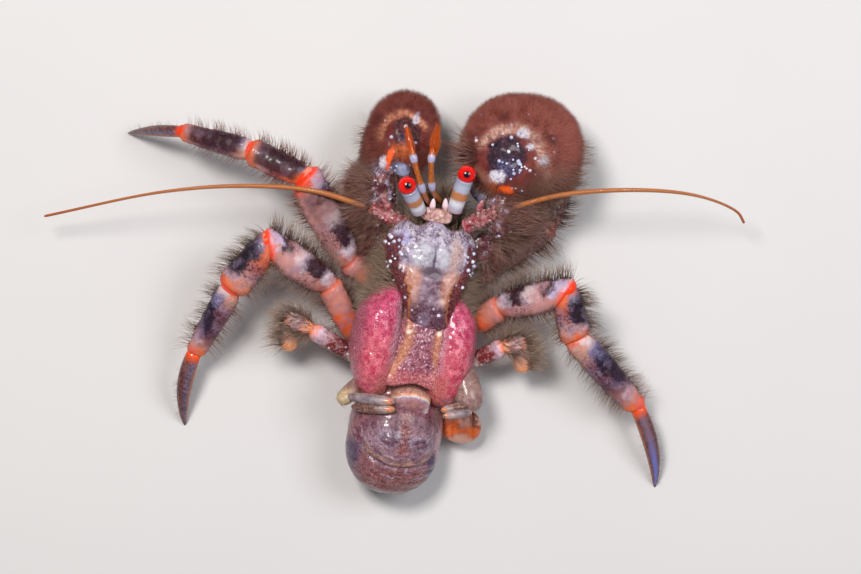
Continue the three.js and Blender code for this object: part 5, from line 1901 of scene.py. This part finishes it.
def gripper_paint(n, furry):
    along = n.attribute("along")
    place = n.place()
    blotch = n.cloud(place, 1.1)
    fine = n.cloud(place, 0.35, 3, 0.7)
    shifted = (along + (blotch - 0.5) * 0.35) / 3
    stops = [
        (0, (0.66, 0.28, 0.2)), (1, (0.92, 0.34, 0.11)), (0.07, (0.72, 0.5, 0.48)),
        (0.11, (0.13, 0.014, 0.018)), (0.22, (0.17, 0.02, 0.022)), (0.27, (0.6, 0.42, 0.52)),
        (0.33, (0.92, 0.22, 0.05)), (0.42, (0.84, 0.36, 0.22)), (0.5, (0.4, 0.2, 0.22)),
        (0.57, (0.66, 0.42, 0.42)), (0.66, (0.88, 0.22, 0.07)), (0.76, (0.78, 0.4, 0.32)),
        (0.9, (0.84, 0.36, 0.22)),
    ]
    colour = n.node("ShaderNodeValToRGB", {"ramp": stops}, [shifted])
    marbled = n.cloud(place, 0.7, 8, 0.7).step(0.5, 0.62) * along.step(1, 0.8)
    dotted = n.dots(place, 0.8, 0.2, 2) * abs(along - 0.5).step(0.45, 0.25)
    colour = n.layers(
        colour,
        (marbled * 0.55, (0.5, 0.3, 0.32)),
        (dotted * 0.9, (0.86, 0.8, 0.8)),
        (fine.step(0.54, 0.64) * abs(along - 1.5).step(0.5, 0.3) * 0.7, (0.11, 0.03, 0.045)),
    )
    if furry:
        pale_share = fine.step(0.42, 0.58) * 0.7 + 0.2
        colour = n.mix(0.85, colour, (0.28, 0.2, 0.145))
        colour = strand_ends(n, colour, (0.06, 0.024, 0.02), 0.6, (0.56, 0.49, 0.38), pale_share)
        return colour, None, None
    return colour, None, fine * 0.06


gripper_finish = wet_paint("gripper_shell", gripper_paint, False, rough=0.36, coat=0.3, soft=0.1, bump=0.5)
gripper_hair = wet_paint("gripper_brush", gripper_paint, True)
for name, side in SIDES.items():
    at = np.array(GRIPPERS[name])
    ways, faces = bearings(at)
    parts = []
    for i, size in enumerate(GRIPPER_SIZES):
        part = loft(leg_piece(at[i], at[i + 1], faces[i], faces[i + 1], size, 1, None, 0.35), 60, 36)
        marks = part["marks"]
        t, angle = marks["along"], marks["around"]
        marks["along"] = t + i
        marks["place"] = part["points"]
        margin = smooth(np.abs(np.cos(angle)), 0.3, 0.8)
        away = unit([side, 0.15, 0.1]) if i else unit([0.3 * side, 0.5, 0.1])
        outer = np.cos(angle) * np.sign(sides_of(ways[i])[0][0] * side + 1e-06)
        brush = (0.25, 1, smooth(outer, -0.4, 0.3) * smooth(t, 0.95, 0.7))[i]
        marks["hair"] = brush * (0.3 + 0.7 * margin) * smooth(t, 0.03, 0.15)
        marks["comb"] = np.broadcast_to(away, part["points"].shape)
        marks["reach"] = np.full(len(t), (0.55, 1, 1)[i])
        parts.append(part)
    gripper = make("gripper_limb_" + name, parts, gripper_finish)
    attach(gripper, "root")
    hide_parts("gripper_leg_" + name, "gripper_pad_" + name)
    scatter(
        "gripper_bristles_" + name, gripper, BRISTLE, gripper_hair, "small_legs", 71, density=28.0,
        length=4.3, thickness=0.075, lean=0.9, spread=0.75, bend=0.25,
    )

CLEANERS = {
    "left": {
        "from": (-9.6, -13.4, 7.6), "elbow": (-13, -16.4, 10.9), "heel": (-12.3, -16.3, 10.6),
        "tip": (-5, -16.9, 13.2),
    },
    "right": {
        "from": (4.3, -11.2, 7.6), "elbow": (6, -17.9, 9.2), "heel": (6, -17.3, 11), "tip": (1.6, -18, 12.6)
    },
}
CLEANER_SIZES = {"left": (1.25, 1.5), "right": (2.1, 1.15)}


def cleaner_paint(n, yellow):
    along = n.attribute("along")
    outer = n.attribute("outer")
    place = n.place()
    blotch = n.cloud(place, 1.2)
    fine = n.cloud(place, 0.28, 3, 0.7)
    rim = abs(outer) + (fine - 0.5) * 0.2
    upper = blotch.tint(0.3, 0.7, (0.21, 0.11, 0.1), (0.38, 0.235, 0.21))
    gold = fine.tint(0.35, 0.65, (0.4, 0.27, 0.15), (0.6, 0.46, 0.27))
    upper = n.mix(along.step(0.45, 0.8) * yellow, upper, gold)
    # A pale lip and an orange band run round the tip of each finger.
    grey = n.layers(
        blotch.tint(0.3, 0.7, (0.14, 0.1, 0.125), (0.36, 0.27, 0.29)),
        (n.attribute("hinder"), fine.tint(0.4, 0.6, (0.1, 0.04, 0.035), (0.3, 0.16, 0.13))),
    )
    claw = n.mix(rim.step(0.72, 0.92) * 0.5, grey, (0.52, 0.34, 0.25))
    tip = along - rim * 0.12
    claw = n.layers(
        claw,
        (tip.hump(1.64, 0.14) * 0.55, (0.5, 0.42, 0.42)),
        (tip.hump(1.77, 0.12) * 0.85, (0.74, 0.24, 0.09)),
        (tip.step(1.86, 1.92) * 0.8, (0.62, 0.5, 0.46)),
        (along.step(1.16, 1) * 0.6, gold if yellow else (0.5, 0.42, 0.42)),
    )
    colour = n.layers(
        along.tint(0.99, 1.01, upper, claw),
        (fine.step(0.58, 0.68) * 0.35, (0.62, 0.5, 0.5)),
        (fine.step(0.42, 0.34) * 0.5, (0.09, 0.045, 0.06)),
    )
    return colour, None, fine * 0.05


for name, spec in CLEANERS.items():
    root, elbow, heel, tip = (np.array(spot) for spot in spec.values())
    arm, hand = CLEANER_SIZES[name]
    across, out = sides_of(tip - heel)
    gape = hand * 0.52
    parts = [loft(egg(root, elbow, arm, arm * 0.9, 3), 60, 48)]
    for finger, drop in ((-1, 0), (1, -0.45)):
        # Two flat fingers lie side by side from the heel to the tip, and the hinder one is a little lower.
        start = blend(heel, tip, 0.04 if finger < 0 else 0.12) + across * finger * gape * 0.9 + out * drop
        end = blend(heel, tip, 0.98) + across * finger * gape * 0.7 + out * drop
        parts.append(loft(egg(start, end, hand * 0.54, hand * 0.56, 2.2), 60, 36))
    for part, (low, high) in zip(parts, ((0, 1), (1.02, 2), (1.02, 2))):
        marks = part["marks"]
        marks["along"] = blend(low, high, marks["along"])
        marks["outer"] = np.cos(marks["around"])
        marks["place"] = part["points"]
    parts[2]["marks"]["hinder"] = np.ones(len(parts[2]["points"]))
    cleaner_finish = wet_paint(
        "cleaner_shell_" + name, cleaner_paint, float(name == "left"), rough=0.36, coat=0.3, soft=0.2,
        bump=0.5,
    )
    cleaner = make("cleaner_limb_" + name, parts, cleaner_finish)
    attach(cleaner, "root")
    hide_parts("cleaner_leg_" + name)
    comb_over(cleaner, 0.25 + 0.75 * smooth(marked(cleaner, "along"), 1.8, 1.95), unit(tip - heel))
    scatter(
        "cleaner_bristles_" + name, cleaner, BRISTLE, tan_bristle, "small_legs", 73, density=9.0, length=1.6,
        thickness=0.05, lean=0.9, spread=0.5, bend=0.2,
    )

# ---------------------------------------------------------------- the floor, the light and the camera
# The model stands on a plain pale floor under two big soft lights, and is seen from straight above.


def placed(x, y, z):
    return tuple(np.array([x, y, z]) / 1000 + ORIGIN)


bpy.ops.mesh.primitive_plane_add(size=3, location=(0, 0, 0))
floor = bpy.context.object
floor.name = "floor"


def floor_paint(n):
    return n.mix(n.cloud(n.where(), 40, 0, 0.5), (0.62, 0.6, 0.6), (0.66, 0.64, 0.63)), 0.8, None


floor.data.materials.append(wet_paint("pale_floor", floor_paint, rough=0.8, coat=0.0))

LIGHTS = {
    "key": {"at": (-90, 120, 360), "size": 0.09, "watts": 1.25, "colour": (1, 0.97, 0.94)},
    "fill": {"at": (190, 60, 300), "size": 0.16, "watts": 0.6, "colour": (0.94, 0.97, 1)},
}
for name, light in LIGHTS.items():
    lamp = bpy.data.lights.new(name, "AREA")
    lamp.size = light["size"]
    lamp.energy = light["watts"]
    lamp.color = light["colour"]
    holder = bpy.data.objects.new(name, lamp)
    holder.location = placed(*light["at"])
    holder.rotation_euler = (-holder.location).to_track_quat("-Z", "Y").to_euler()
    bpy.context.scene.collection.objects.link(holder)
world = bpy.data.worlds.new("studio")
world.use_nodes = True
world.node_tree.nodes["Background"].inputs["Color"].default_value = (0.95, 0.96, 1, 1)
world.node_tree.nodes["Background"].inputs["Strength"].default_value = 0.22
bpy.context.scene.world = world
bpy.context.scene.view_settings.view_transform = "Standard"

camera = bpy.data.objects.new("camera", bpy.data.cameras.new("camera"))
camera.data.sensor_width = 36
camera.data.lens = 111
camera.data.clip_start = 0.01
camera.location = placed(0, 0, 390)
bpy.context.scene.collection.objects.link(camera)
bpy.context.scene.camera = camera
